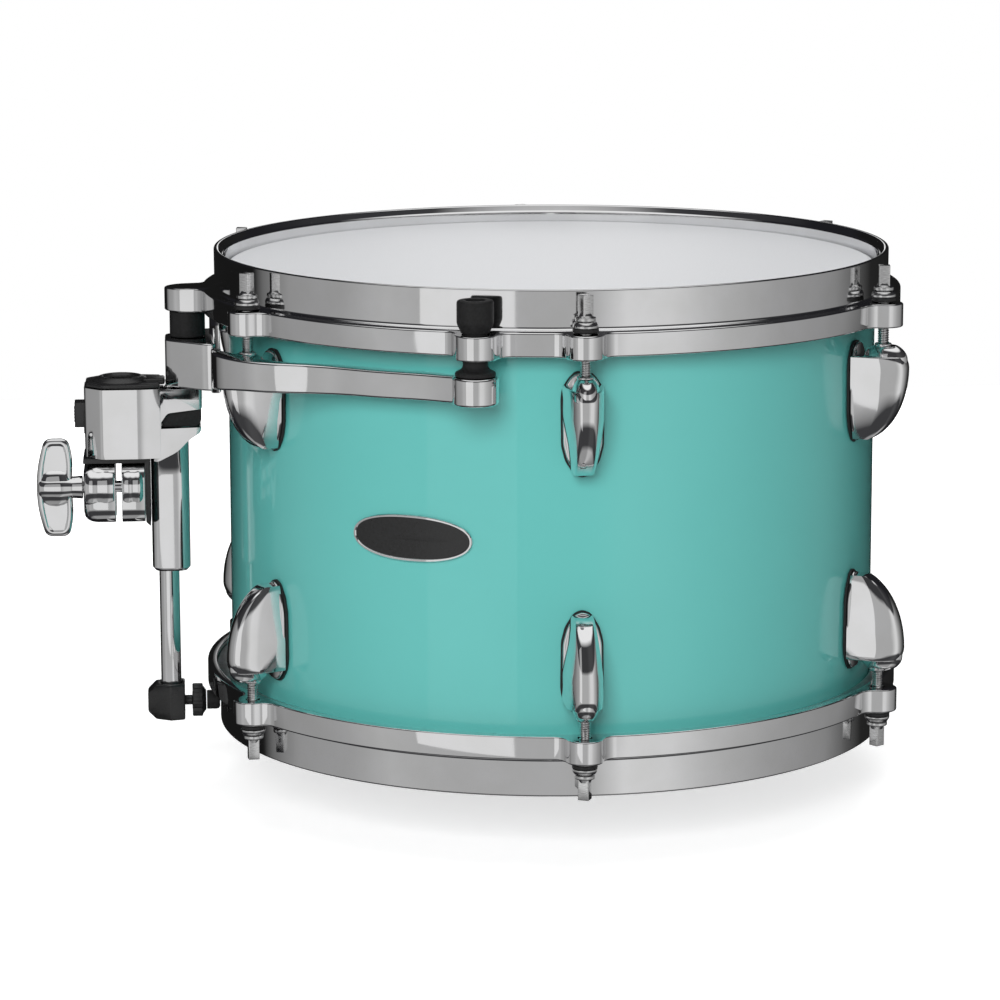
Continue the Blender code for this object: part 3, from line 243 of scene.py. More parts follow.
# The studio that mirrors see: its brightness by the angle from the front, left negative. By the angle above
# the horizon it gives way to the gap's tone and to the roof's, fully where a list's second number is 1.
WHITE = (1, 1, 1, 1)
ROOM_TONE = (0.22, 0.22, 0.22, 1)
GAP_TONE = (0.015, 0.015, 0.018, 1)
ROOF_TONE = (0.95, 0.95, 0.95, 1)
STUDIO_ROUND = [
    (-180, 0.01), (-124, 0.01), (-118, 0.16), (-103, 0.33), (-78, 0.38), (-62, 0.50), (-42, 0.46),
    (8, 0.46), (20, 0.76), (35, 0.72), (50, 0.54), (75, 0.38), (105, 0.27), (120, 0.10),
    (132, 0.02), (171, 0.01), (173, 1.0), (177, 1.0), (179, 0.01), (180, 0.01),
]
STUDIO_GAP = [
    (-90, 0.3), (-62, 0.3), (-54, 0.92), (-32, 0.92), (-25, 0.0), (14, 0.0), (18, 0.93), (90, 0.93),
]
STUDIO_ROOF = [(-90, 0.0), (50, 0.0), (60, 1.0), (90, 1.0)]


def radial(angle):
    return Matrix.Rotation(math.radians(angle), 4, "Z")


def shifted(x=0.0, y=0.0, z=0.0):
    return Matrix.Translation((x * MM, y * MM, z * MM))


def polar(radius, angle):
    return radius * math.cos(math.radians(angle)), radius * math.sin(math.radians(angle))


def mix(a, b, share):
    return a + (b - a) * share


UPPER = shifted(0, 0, MID)
LOWER = UPPER @ Matrix.Rotation(math.pi, 4, "X")
MOUNT = UPPER @ radial(180)
ALONG_X = Matrix.Rotation(math.pi / 2, 4, "Y")


def stations():
    return [FIRST_STATION + SPACING * k for k in range(STATIONS)]


def station_places():
    """The stations at the top and the bottom: the word and number in their names, and where they stand."""
    for side, at, sense in (("upper", UPPER, 1), ("lower", LOWER, -1)):
        for number, angle in enumerate(stations(), 1):
            yield side, number, at @ radial(sense * angle)


# Materials


class Nodes:
    """Makes the nodes of a material or a world by short calls."""

    def __init__(self, owner):
        owner.use_nodes = True
        self.tree = owner.node_tree

    def feed(self, node, key, value):
        """Fills an input with a value, or links it to the output that is given in its place."""
        if isinstance(key, str):
            named = [i for i, s in enumerate(node.inputs) if s.enabled and s.name == key.replace("_", " ")]
            key = named[0]
        if isinstance(value, bpy.types.NodeSocket):
            self.tree.links.new(value, node.inputs[key])
        else:
            node.inputs[key].default_value = value

    def node(self, kind, *sources, **values):
        """Adds a node. Keywords in small letters are its settings, and all else goes to its inputs."""
        made = self.tree.nodes.new("ShaderNode" + kind)
        for key in [key for key in values if key.islower()]:
            setattr(made, key, values.pop(key))
        for key, value in [*enumerate(sources), *values.items()]:
            self.feed(made, key, value)
        return made

    def value(self, kind, *sources, **values):
        """Adds a node and gives its first live output."""
        return next(s for s in self.node(kind, *sources, **values).outputs if s.enabled)

    def ramp(self, value, stops):
        """A ramp through (position, colour) stops."""
        made = self.node("ValToRGB", Fac=value)
        elements = made.color_ramp.elements
        while len(elements) < len(stops):
            elements.new(1.0)
        for element, (position, color) in zip(elements, stops):
            element.position = position
            element.color = (*color, 1)
        return made.outputs["Color"]


class Shader(Nodes):
    """A Principled material."""

    def __init__(self, name, color, roughness, **values):
        self.material = bpy.data.materials.new(name)
        super().__init__(self.material)
        self.bsdf = self.tree.nodes["Principled BSDF"]
        for key, value in {"Base_Color": (*color, 1), "Roughness": roughness, **values}.items():
            self.feed(self.bsdf, key, value)
        self.material.diffuse_color = (*color, 1)
        self.place = self.node("TexCoord").outputs["Object"]

    def noise(self, scale, detail=3.0, stretch=None):
        place = self.value("Mapping", Vector=self.place, Scale=stretch) if stretch else self.place
        return self.value("TexNoise", Vector=place, Scale=scale, Detail=detail)

    def color_from(self, value, low, high):
        self.feed(self.bsdf, "Base Color", self.ramp(value, [(0.35, low), (0.65, high)]))

    def roughness_from(self, value, low, high):
        spread = self.value("MapRange", Value=value, From_Min=0.3, From_Max=0.7, To_Min=low, To_Max=high)
        self.feed(self.bsdf, "Roughness", spread)

    def bump_from(self, height, strength, distance):
        bump = self.value("Bump", Height=height, Strength=strength, Distance=distance)
        self.feed(self.bsdf, "Normal", bump)


def finish(name, color, noise, tones, rough, bump=None, **values):
    """A surface whose noise moves its colour between two tones, and with it its roughness and relief."""
    made = Shader(name, color, rough[0], **values)
    noise = made.noise(*noise)
    made.color_from(noise, *tones)
    made.roughness_from(noise, *rough)
    if bump:
        made.bump_from(noise, *bump)
    return made.material


def make_lacquer():
    """Turquoise coat under clear lacquer: faint clouding in the colour and a faint orange peel."""
    coat = {"Coat_Weight": 1.0, "Coat_Roughness": 0.02, "Specular_IOR_Level": 0.12}
    made = Shader("turquoise_lacquer", (0.125, 0.510, 0.475), 0.32, **coat)
    made.color_from(made.noise(7.0), (0.121, 0.500, 0.466), (0.129, 0.520, 0.484))
    made.bump_from(made.noise(420.0, 1.0), 0.02, 0.0002)
    return made.material


def make_ply():
    """Bare maple inside the shell, its grain running round the drum."""
    tones = (0.46, 0.29, 0.15), (0.66, 0.46, 0.27)
    return finish("maple_ply", (0.56, 0.37, 0.20), (30.0, 6.0, (1.0, 1.0, 14.0)), tones, (0.45, 0.65))


def make_chrome(name, value, *rough):
    """Mirror chrome with the slight haze of handling."""
    tones = (value * 0.97,) * 3, (value * 1.02, value * 1.02, value * 1.03)
    return finish(name, (value, value, value * 1.01), (60.0, 5.0), tones, rough, Metallic=1.0)


def make_steel(name, value, *rough):
    """Plated steel with fine turning marks across the rod."""
    tones = (value * 0.85,) * 3, (value * 1.08,) * 3
    noise = (500.0, 2.0, (1.0, 1.0, 8.0))
    return finish(name, (value, value, value * 1.02), noise, tones, rough, (0.10, 0.0001), Metallic=1.0)


def make_black(name, value, rough, grain, depth, gloss):
    """Moulded black plastic or rubber with its fine grain."""
    tones = (value * 0.75,) * 3, (value * 1.3, value * 1.3, value * 1.36)
    color = (value, value, value * 1.05)
    return finish(name, color, (grain,), tones, rough, (0.25, depth), Specular_IOR_Level=gloss)


def make_film():
    """Coated head: white film under a fine sprayed speckle."""
    tones = (0.70, 0.71, 0.73), (0.78, 0.79, 0.81)
    coat = {"Coat_Weight": 0.25, "Coat_Roughness": 0.25}
    color, bump = (0.74, 0.75, 0.77), (0.12, 0.00015)
    return finish("coated_film", color, (1400.0, 2.0), tones, (0.42, 0.62), bump, **coat)


LACQUER = make_lacquer()
PLY = make_ply()
CHROME = make_chrome("mirror_chrome", 0.80, 0.03, 0.08)
LUG_CHROME = make_chrome("lug_chrome", 0.82, 0.03, 0.07)
STEEL = make_steel("rod_steel", 0.70, 0.12, 0.24)
WASHER_STEEL = make_steel("washer_steel", 0.74, 0.10, 0.20)
ALUMINIUM = make_steel("flesh_aluminium", 0.72, 0.28, 0.42)
FILM_COAT = make_film()
RUBBER = make_black("satin_rubber", 0.012, (0.42, 0.58), 900.0, 0.00008, 0.3)
PLASTIC = make_black("moulded_plastic", 0.010, (0.26, 0.40), 700.0, 0.00006, 0.6)
NYLON = make_black("black_nylon", 0.014, (0.38, 0.50), 800.0, 0.00005, 0.4)


# Mesh building


def circle(count):
    return [polar(1.0, 360 * k / count) for k in range(count)]


def mirrored(outline):
    """Half an outline and its mirror image across the first axis."""
    return outline + [(x, -y, *more) for x, y, *more in reversed(outline) if abs(y) > 1e-9]


def offset(x0, y0, *points):
    """Points counted from a place. A third value, their rounding, is kept."""
    return [(x0 + x, y0 + y, *more) for x, y, *more in points]


def box_outline(near, far, half):
    return [(near, -half), (far, -half), (far, half), (near, half)]


def rounded(points, rounding, steps=4, closed=True):
    """Rounds the corners of a polyline. A point may carry its own rounding as a third value."""
    out = []
    count = len(points)
    for i, point in enumerate(points):
        here = Vector(point[:2])
        r = point[2] if len(point) > 2 else rounding
        if (not closed and i in (0, count - 1)) or r <= 0:
            out.append(tuple(here))
            continue
        before = Vector(points[i - 1][:2]) - here
        after = Vector(points[(i + 1) % count][:2]) - here
        reach = min(r, before.length * 0.48, after.length * 0.48)
        a = here + before.normalized() * reach
        b = here + after.normalized() * reach
        for step in range(steps + 1):
            t = step / steps
            out.append(tuple(a * (1 - t) ** 2 + here * (2 * t * (1 - t)) + b * t**2))
    return out


def vertex(shape, place):
    return shape.verts.new([value * MM for value in place])


def neighbours(rings, closed):
    return zip(rings, rings[1:] + rings[:1] if closed else rings[1:])


def lathe(profile, steps, closed=False):
    """Turns (radius, height) points about Z."""
    shape = bmesh.new()
    rings = []
    for r, z in profile:
        places = [(0, 0)] if r < 1e-7 else [polar(r, 360 * k / steps) for k in range(steps)]
        rings.append([vertex(shape, (*place, z)) for place in places])
    for first, second in neighbours(rings, closed):
        for k in range(steps):
            n = (k + 1) % steps
            corners = (first, k), (first, n), (second, n), (second, k)
            unique = list(dict.fromkeys(ring[i % len(ring)] for ring, i in corners))
            if len(unique) > 2:
                shape.faces.new(unique)
    return shape


def spun(points, rounding, corner_steps, steps, closed=None):
    """Rounds a profile and turns it about Z. It is closed where it starts off the axis, unless told."""
    if closed is None:
        closed = points[0][0] > 0
    return lathe(rounded(points, rounding, corner_steps, closed), steps, closed)


def cylinder(radius, low, high, steps=48):
    return lathe([(0, low), (radius, low), (radius, high), (0, high)], steps)


def sweep(sections, closed=False, caps=True):
    """A surface through sections that have the same number of points."""
    shape = bmesh.new()
    rings = [[vertex(shape, point) for point in section] for section in sections]
    count = len(rings[0])
    for first, second in neighbours(rings, closed):
        for k in range(count):
            n = (k + 1) % count
            shape.faces.new((first[k], first[n], second[n], second[k]))
    if caps and not closed:
        shape.faces.new(rings[0][::-1])
        shape.faces.new(rings[-1])
    return shape


def soften(shape, width, steps=3, angle=28):
    """Bevels the edges sharper than an angle."""
    bmesh.ops.recalc_face_normals(shape, faces=shape.faces)
    edges = [e for e in shape.edges if e.is_manifold and e.calc_face_angle() > math.radians(angle)]
    form = {"segments": steps, "profile": 0.5, "affect": "EDGES", "clamp_overlap": True}
    bmesh.ops.bevel(shape, geom=edges, offset=width * MM, **form)
    return shape


def prism(outline, low, high, edge=0.0, axis="Z"):
    """An outline made solid. On axis X it is (y, z), on axis Y it is (x, z)."""
    lay = {
        "Z": lambda a, b, c: (a, b, c),
        "X": lambda a, b, c: (c, a, b),
        "Y": lambda a, b, c: (a, c, b),
    }[axis]
    shape = sweep([[lay(x, y, level) for x, y in outline] for level in (low, high)])
    return soften(shape, edge) if edge else shape


def slab(outline, half, edge=0.0, axis="Y", middle=0.0):
    return prism(outline, middle - half, middle + half, edge, axis)


def turned(shape, matrix):
    bmesh.ops.transform(shape, matrix=matrix, verts=shape.verts)
    return shape


def as_mesh(shape, name="part"):
    """Makes a mesh of a shape and frees the shape."""
    mesh = bpy.data.meshes.new(name)
    shape.to_mesh(mesh)
    shape.free()
    return mesh


def joined(*shapes):
    whole = bmesh.new()
    for shape in shapes:
        mesh = as_mesh(shape)
        whole.from_mesh(mesh)
        bpy.data.meshes.remove(mesh)
    return whole


def add_object(name, data):
    obj = bpy.data.objects.new(name, data)
    bpy.context.scene.collection.objects.link(obj)
    return obj


def boolean(shape, *steps):
    """Applies (operation, shape) Boolean steps with the EXACT solver."""
    objects = []
    for made in (shape, *[step[1] for step in steps]):
        bmesh.ops.recalc_face_normals(made, faces=made.faces)
        objects.append(add_object("operand", as_mesh(made)))
    for (operation, _), obj in zip(steps, objects[1:]):
        modifier = objects[0].modifiers.new(operation.lower(), "BOOLEAN")
        modifier.operation = operation
        modifier.solver = "EXACT"
        modifier.object = obj
    bpy.context.view_layer.update()
    graph = bpy.context.evaluated_depsgraph_get()
    mesh = bpy.data.meshes.new_from_object(objects[0].evaluated_get(graph), depsgraph=graph)
    for obj in objects:
        bpy.data.objects.remove(obj)
    result = bmesh.new()
    result.from_mesh(mesh)
    return result


def cut(shape, tool):
    return boolean(shape, ("DIFFERENCE", tool))


def mesh_of(name, shape, sharp=40):
    bmesh.ops.recalc_face_normals(shape, faces=shape.faces)
    mesh = as_mesh(shape, name)
    mesh.shade_smooth()
    mesh.set_sharp_from_angle(angle=math.radians(sharp))
    return mesh


def piece(name, form, material, at, node=None, body="drum", sharp=40):
    """Adds a finished piece: it rides on a body and stands in for a CAD node, which it hides."""
    mesh = form if isinstance(form, bpy.types.Mesh) else mesh_of(name, form, sharp)
    if not mesh.materials:
        mesh.materials.append(material)
    obj = add_object(name, mesh)
    obj.matrix_world = at
    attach(obj, body)
    if node:
        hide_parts(node)


# Drum


def make_shell():
    edge = SHELL_RADIUS - BEARING_IN
    inner = SHELL_RADIUS - SHELL_WALL
    profile = [
        (edge, SHELL_HALF), (SHELL_RADIUS, SHELL_HALF - BEARING_IN),
        (SHELL_RADIUS, -SHELL_HALF + BEARING_IN), (edge, -SHELL_HALF),
        (inner, -SHELL_HALF + (edge - inner)), (inner, SHELL_HALF - (edge - inner)),
    ]
    x, y, z = [(low + top) / 2 for low, top in zip(*box("air_vent"))]
    vent = radial(math.degrees(math.atan2(y, x))) @ shifted(SHELL_RADIUS, 0, z - MID) @ ALONG_X
    drill = turned(cylinder(5.7, -12, 12, 32), vent)
    mesh = mesh_of("shell_surface", cut(lathe(profile, RING_STEPS, closed=True), drill), 30)
    mesh.materials.append(LACQUER)
    mesh.materials.append(PLY)
    for face in mesh.polygons:
        if math.hypot(face.center.x, face.center.y) < (edge - 0.5) * MM:
            face.material_index = 1
    piece("shell_surface", mesh, LACQUER, UPPER, "shell")
    make_vent(UPPER @ vent)


def make_vent(at):
    """Grommet with a domed flange and a round hole."""
    profile = [
        (3.2, 2.2, 0.6), (7.4, 2.2, 1.4), (8.6, 0.3, 0.3), (5.4, 0.3),
        (5.4, -6.6), (7.6, -6.6), (7.6, -8.3), (3.2, -8.3),
    ]
    piece("air_vent_grommet", spun(profile, 0.2, 3, 64), RUBBER, at, "air_vent")


def oval_ring(shrink, out):
    """Points round an oval on the shell, drawn in by a distance and standing out from the lacquer."""
    wide, tall = OVAL_WIDE / 2 - shrink, OVAL_TALL / 2 - shrink
    ring = []
    for x, y in circle(96):
        around = OVAL_ANGLE + math.degrees(wide * math.copysign(abs(x) ** 0.9, x) / SHELL_RADIUS)
        ring.append((*polar(SHELL_RADIUS + out, around), tall * math.copysign(abs(y) ** 0.9, y)))
    return ring


def make_oval_plate():
    """Plain oval plate, its chrome rim standing a little above the dark inlay."""
    rim = [(0.3, 0.1), (0, 0.4), (0.1, 1.1), (0.5, 1.5), (1.2, 1.5), (1.5, 1.2), (1.6, 0.9)]
    piece("oval_plate_rim", sweep([oval_ring(*edge) for edge in rim], caps=False), CHROME, UPPER)
    inlay = [oval_ring(1.5 + step * 0.75, 1.05) for step in range(12)]
    piece("oval_plate_inlay", sweep(inlay), PLASTIC, UPPER)


def make_heads():
    """Film with its rolled collar, and the aluminium flesh hoop round it."""
    under = HEAD_FACE - FILM
    collar = SHELL_RADIUS + 0.35
    flesh_top = REBATE_TOP - 0.4
    film = [
        (0, HEAD_FACE, 0), (SHELL_RADIUS - 1.2, HEAD_FACE, 1.2),
        (collar + 0.55, HEAD_FACE - 1.8, 1), (collar + 0.55, flesh_top, 0),
        (collar, flesh_top, 0), (collar, under - 1.8, 0.8),
        (SHELL_RADIUS - 1.4, under, 1), (0, under, 0),
    ]
    flesh = [
        (collar + 0.1, flesh_top), (REBATE - 0.35, flesh_top),
        (REBATE - 0.35, flesh_top - 8), (SHELL_RADIUS + 1.4, flesh_top - 8),
        (collar + 0.1, flesh_top - 6.4),
    ]
    film = mesh_of("head_film", spun(film, 0.3, 5, RING_STEPS), 50)
    flesh = mesh_of("flesh_ring", spun(flesh, 0.5, 3, 180))
    for name, at in (("top", UPPER), ("bottom", LOWER)):
        piece(f"{name}_head_film", film, FILM_COAT, at, f"{name}_head")
        piece(f"{name}_flesh_ring", flesh, ALUMINIUM, at)


def ear_reach(turn, center, radius):
    """How far out an ear's outline lies at an angle from its middle, or the plain flange."""
    to_fillet = FLANGE_OUTER + EAR_FILLET
    reach = radius + EAR_FILLET
    along = (to_fillet**2 - reach**2 + center**2) / (2 * center)
    aside = math.sqrt(to_fillet**2 - along**2)
    touch_x = center + (along - center) * radius / reach
    touch_y = aside * radius / reach
    angle = abs(math.radians(turn))
    sine, cosine = math.sin(angle), math.cos(angle)
    if angle <= math.atan2(touch_y, touch_x):
        return center * cosine + math.sqrt(max(0, radius**2 - (center * sine) ** 2))
    if angle >= math.atan2(aside, along):
        return FLANGE_OUTER
    across = math.sqrt(max(0, EAR_FILLET**2 - (aside * cosine - along * sine) ** 2))
    return along * cosine + aside * sine - across


def hoop_angles(ears):
    """Angles round a hoop: even steps, with closer ones at the ears."""
    angles = {round(k * HOOP_STEP, 4) for k in range(240)}
    for middle, _, _ in ears:
        angles |= {round((middle + step * EAR_STEP) % 360, 4) for step in range(-36, 37)}
    return sorted(angles)


def hoop_surface(ears):
    """Die-cast hoop swept round with the flange following each ear, its edges rounded."""
    sections = []
    for angle in hoop_angles(ears):
        reaches = [ear_reach((angle - middle + 180) % 360 - 180, *ear) for middle, *ear in ears]
        out = max(FLANGE_OUTER, *reaches)
        profile = [
            (BAND_OUTER, RIM, 0.8), (BAND_OUTER - 0.1, FLANGE_TOP, 1.6),
            (out, FLANGE_TOP - FLANGE_FALL), (out, FLANGE_LOW),
            (REBATE, FLANGE_LOW, 0.4), (REBATE, REBATE_TOP, 0.4),
            (BAND_INNER, REBATE_TOP, 0.4), *offset(BAND_INNER, RIM, (0, -3.4, 0.4), (0.8, -3, 0.4)),
            *offset(BAND_OUTER, RIM, (-2.2, -0.3, 0.5), (-1.7, 0, 0.5)),
        ]
        sections.append([(*polar(r, angle), z) for r, z in rounded(profile, 0.9)])
    return sweep(sections, closed=True)


def hole_at(radius, angle, bore):
    drill = cylinder(bore, FLANGE_LOW - 1, FLANGE_TOP + 1, 32)
    return turned(drill, radial(angle) @ shifted(radius))


def make_hoops():
    lugs = [(angle % 360, EAR_CENTER, EAR_RADIUS) for angle in stations()]
    ends = [(180 + side * MOUNT_SPREAD) % 360 for side in (-1, 1)]
    ends = [(angle, EYE_CIRCLE - 0.7, MOUNT_EAR_RADIUS) for angle in ends]
    middle = [(180, EYE_CIRCLE, MIDDLE_EAR_RADIUS)]
    for name, at, bored, plain in (("top", UPPER, ends, middle), ("bottom", LOWER, [], [])):
        holes = [hole_at(ROD_CIRCLE, angle, 3.3) for angle, _, _ in lugs]
        holes += [hole_at(EYE_CIRCLE, angle, 6) for angle, _, _ in bored]
        casting = cut(hoop_surface(lugs + bored + plain), joined(*holes))
        piece(f"{name}_hoop_casting", casting, CHROME, at, f"{name}_hoop")


# Lugs, rods and washers


def lug_ridge(height):
    """How far out the lug's ridge lies: a quarter ellipse below its widest height, nearly upright above."""
    if height >= LUG_WIDEST:
        return LUG_OUT - 0.35 * (height - LUG_WIDEST) ** 2 / 5
    fall = min(1, (LUG_WIDEST - height) / (LUG_WIDEST - LUG_LOW))
    return SHELL_RADIUS + 1 + (LUG_OUT - SHELL_RADIUS - 1) * math.sqrt(max(0, 1 - fall**2))


def lug_section(height, share):
    """Flat flanks that turn in to a narrow nose with a low ridge in its middle."""
    ridge = lug_ridge(height)
    back = PLATE_FRONT - 1.2
    base = mix(4.6, 8.9, min(1, share * 1.5) ** 0.75)
    nose = mix(3.7, 4.3, share)
    flank = ((0, 0), (0.56, 0.20), (0.68, 0.34), (0.79, 0.56), (0.875, 0.80), (0.94, 1))
    half = [(mix(back, ridge, out), -mix(base, nose, turn)) for out, turn in flank]
    half += [(mix(back, ridge, 0.975), -nose * 0.82), (mix(back, ridge, 0.99), -nose * 0.55), (ridge, 0)]
    return [(x, y, height) for x, y in mirrored(half)]


def lug_surface():
    """Wedge body, domed hood over the thread and the collar round the rod."""
    top = LUG_TOP - 6.2
    low = LUG_LOW + 1.9
    count = 26
    sections = [lug_section(mix(low, top, k / count), k / count) for k in range(count + 1)]
    cap = lug_section(top, 1)
    middle = Vector((mix(PLATE_FRONT, LUG_OUT, 0.45), 0, 0))
    for rise, shrink in ((0.35, 0.985), (0.6, 0.955), (0.7, 0.91)):
        sections.append([(mix(middle.x, x, shrink), y * shrink, z + rise) for x, y, z in cap])
    hood = lathe([polar(1, angle) for angle in range(-60, 61, 6)], 48)
    hood_at = shifted(ROD_CIRCLE + 1.4, 0, LUG_TOP - 7.4)
    turned(hood, hood_at @ Matrix.Diagonal((10.2, 6.1, 7.6, 1)))
    collar = offset(0, LUG_TOP, (2.9, -3), (2.9, 0), (3.7, 0), (3.9, -1), (3.3, -1.5), (3.8, -3))
    return joined(sweep(sections), hood, turned(spun(collar, 0.3, 3, 40), shifted(ROD_CIRCLE)))


def plate_outline(margin):
    wide = PLATE_HALF + margin
    top = LUG_TOP + margin
    low = LUG_LOW - margin
    half = offset(0, top, (0, 0), (3.4, -0.3), (6.3, -3.2)) + offset(wide, top, (-0.7, -7.5), (0, -12))
    half += offset(wide, low, (-0.3, 14), (-2, 7.5)) + offset(0, low, (3.8, 1.5), (0, 0))
    return rounded(half + [(-y, z) for y, z in reversed(half) if y > 0], 1.6, 3)


def make_lugs():
    casting = mesh_of("lug_casting", lug_surface(), 34)
    gasket = mesh_of("lug_gasket", prism(plate_outline(0.5), LUG_BACK, LUG_SEAM, 0.2, "X"))
    base = mesh_of("lug_base", prism(plate_outline(-0.3), LUG_SEAM, PLATE_FRONT, 0.9, "X"))
    for side, number, place in station_places():
        node = f"{side}_lug_{number}"
        piece(f"{node}_casting", casting, LUG_CHROME, place, node)
        piece(f"{node}_base", base, LUG_CHROME, place)
        piece(f"{node}_gasket", gasket, NYLON, place)


def thread(radius, low, high, pitch, steps=20):
    """A helical thread as one strip that winds upwards."""
    shape = bmesh.new()
    depth = 0.42 * pitch
    levels = [(radius, 0), (radius - depth, 0.5), (radius, 1)]
    rows = []
    for k in range(int((high - low) / pitch * steps) + 1):
        z = low + pitch * k / steps
        rows.append([vertex(shape, (*polar(r, 360 * k / steps), z + pitch * rise)) for r, rise in levels])
    for first, second in zip(rows, rows[1:]):
        for k in range(len(levels) - 1):
            shape.faces.new((first[k], second[k], second[k + 1], first[k + 1]))
    return shape


def rod_surface():
    """Threaded shank, plain neck, collar, flare and square key head."""
    neck = FLANGE_LOW + 4
    key_low = COLLAR_LOW + 1.7
    head = [
        *offset(0, key_low, (0, 1.8, 0), (2.7, 1.8, 0.2), (3.3, 0.3, 0.5)), (COLLAR_RADIUS, key_low, 0.4),
        (COLLAR_RADIUS, COLLAR_LOW, 0.4), (ROD_RADIUS, COLLAR_LOW, 0.1),
        (ROD_RADIUS, neck, 0.1), (0, neck, 0),
    ]
    half = KEY_WIDTH / 2
    square = [(half, half), (-half, half), (-half, -half), (half, -half)]
    return joined(
        thread(ROD_RADIUS, ROD_END, neck, ROD_PITCH),
        cylinder(ROD_RADIUS - 0.4, ROD_END, neck, 24),
        spun(head, 0.3, 3, 40),
        turned(prism(rounded(square, 0.5, 3), key_low, KEY_TOP, 0.7), radial(KEY_TURN)),
    )


def make_rods():
    """Each rod over a coned steel washer and a black nylon one."""
    nylon_top = WASHER_LOW + NYLON_TALL
    nylon = [
        (WASHER_BORE, nylon_top), (WASHER_RADIUS, nylon_top),
        (WASHER_RADIUS, WASHER_LOW), (WASHER_BORE, WASHER_LOW),
    ]
    steel_low = nylon_top + 0.1
    steel = [
        (WASHER_BORE, WASHER_TOP), (4.7, WASHER_TOP, 0.5),
        (WASHER_RADIUS, steel_low + 1.1, 0.6), (WASHER_RADIUS, steel_low, 0.4),
        (WASHER_BORE, steel_low),
    ]
    rod = mesh_of("rod_surface", rod_surface(), 38)
    nylon = mesh_of("nylon_washer", spun(nylon, 0.4, 3, 48))
    steel = mesh_of("steel_washer", spun(steel, 0.2, 4, 48))
    for side, number, at in station_places():
        place = at @ shifted(ROD_CIRCLE)
        node = f"{side}_rod_{number}"
        piece(f"{node}_threaded", rod, STEEL, place, node, node)
        node = f"{side}_washer_{number}"
        piece(f"{node}_steel", steel, WASHER_STEEL, place, node, node)
        piece(f"{node}_nylon", nylon, NYLON, place, body=node)


# Suspension mount


def on_curve(a, b, c, d, t):
    """A Catmull-Rom curve's value between b and c."""
    square = (2 * a - 5 * b + 4 * c - d) * t**2
    cube = (3 * b - a - 3 * c + d) * t**3
    return 0.5 * (2 * b + (c - a) * t + square + cube)


def smooth_path(points, per_span):
    """A Catmull-Rom curve through the points."""
    padded = [points[0], *points, points[-1]]
    path = []
    for near in zip(padded, padded[1:], padded[2:], padded[3:]):
        for step in range(per_span):
            path.append(tuple(on_curve(*values, step / per_span) for values in zip(*near)))
    return [*path, tuple(points[-1])]


def relaxed(path, rounds):
    """Moves each inner point halfway to the middle between its neighbours, round after round."""
    for _ in range(rounds):
        moved = [
            tuple(mix(b, (a + c) / 2, 0.5) for a, b, c in zip(before, here, after))
            for before, here, after in zip(path, path[1:], path[2:])
        ]
        path = [path[0], *moved, path[-1]]
    return path


def bar_line():
    """Half of the arc bar's centre line in mount space, round the lug in its way and on to the eye."""
    straight = BAR_FACE - BAR_THICK / 2
    outward = [
        (0.500, 15.6), (0.612, 12.3), (0.692, 5), (0.767, -1.4),
        (0.850, -3.7), (0.933, -4), (1.050, -3.4), (1.133, -1.5),
    ]
    points = [(straight, y) for y in (0, BLOCK_HALF, (BLOCK_HALF + LUG_SIDE) / 2, LUG_SIDE - 3)]
    points += [polar(ROD_CIRCLE + out, share * SPACING) for share, out in outward]
    points.append(polar(EYE_CIRCLE, MOUNT_SPREAD))
    return relaxed(smooth_path(points, 9), 30)


def bar_levels(distance):
    """Top and bottom of the bar at a distance along y from the middle of the mount."""
    block = (BLOCK_TOP - 1, BLOCK_LOW + 1)
    levels = [(0, *block), (BLOCK_HALF + 8, *block)]
    over_lug = (LUG_SIDE, -4.5, 0.4, 17), (LUG_SIDE, 25.5, -0.6, 14.4)
    to_eye = (EYE_SIDE, -31, -0.7, 13.2), (EYE_SIDE, -13, -0.4, 12.6)
    for side, along, rise, drop in over_lug + to_eye:
        levels.append((side + along, LUG_TOP + rise, EYE_TOP - drop))
    levels.append((EYE_SIDE + 7, EYE_TOP - 0.2, EYE_LOW + 0.2))
    for (start, top_a, low_a), (end, top_b, low_b) in zip(levels, levels[1:]):
        if distance <= end:
            share = (distance - start) / (end - start)
            blend = share * share * (3 - 2 * share)
            return mix(top_a, top_b, blend), mix(low_a, low_b, blend)
    return levels[-1][1:]


def lip_depth(distance):
    """How far the bar's top lip reaches inwards: once over the lug and once more before the eye."""
    bulge = max(0, 1 - ((distance - 97) / 17) ** 2) * 6.5
    tail = max(0, 1 - ((distance - 136) / 24) ** 2) * 4
    return bulge + tail


def bar_surface():
    half = bar_line()
    line = [(x, -y) for x, y in reversed(half[1:])] + half
    thick = BAR_THICK / 2
    sections = []
    for i, (x, y) in enumerate(line):
        before = Vector(line[max(i - 1, 0)])
        after = Vector(line[min(i + 1, len(line) - 1)])
        along = (after - before).normalized()
        out = Vector((along.y, -along.x))
        top, low = bar_levels(abs(y))
        lip = lip_depth(abs(y))
        profile = [
            (thick, low, 1.3), (thick, top, 1.3), (-thick - lip, top, 0.7),
            (-thick - lip, top - 1.5 - 0.1 * lip, 0.5),
            (-thick, top - 3 - 0.25 * lip, 0.8), (-thick, low, 1),
        ]
        sections.append([(x + out.x * a, y + out.y * a, b) for a, b in rounded(profile, 0.8)])
    return sweep(sections)


def eye_place(side):
    """Where a bushing stands: 0 is the middle of the mount, 1 and -1 are the bar's ends."""
    return radial(side * MOUNT_SPREAD) @ shifted(EYE_CIRCLE)


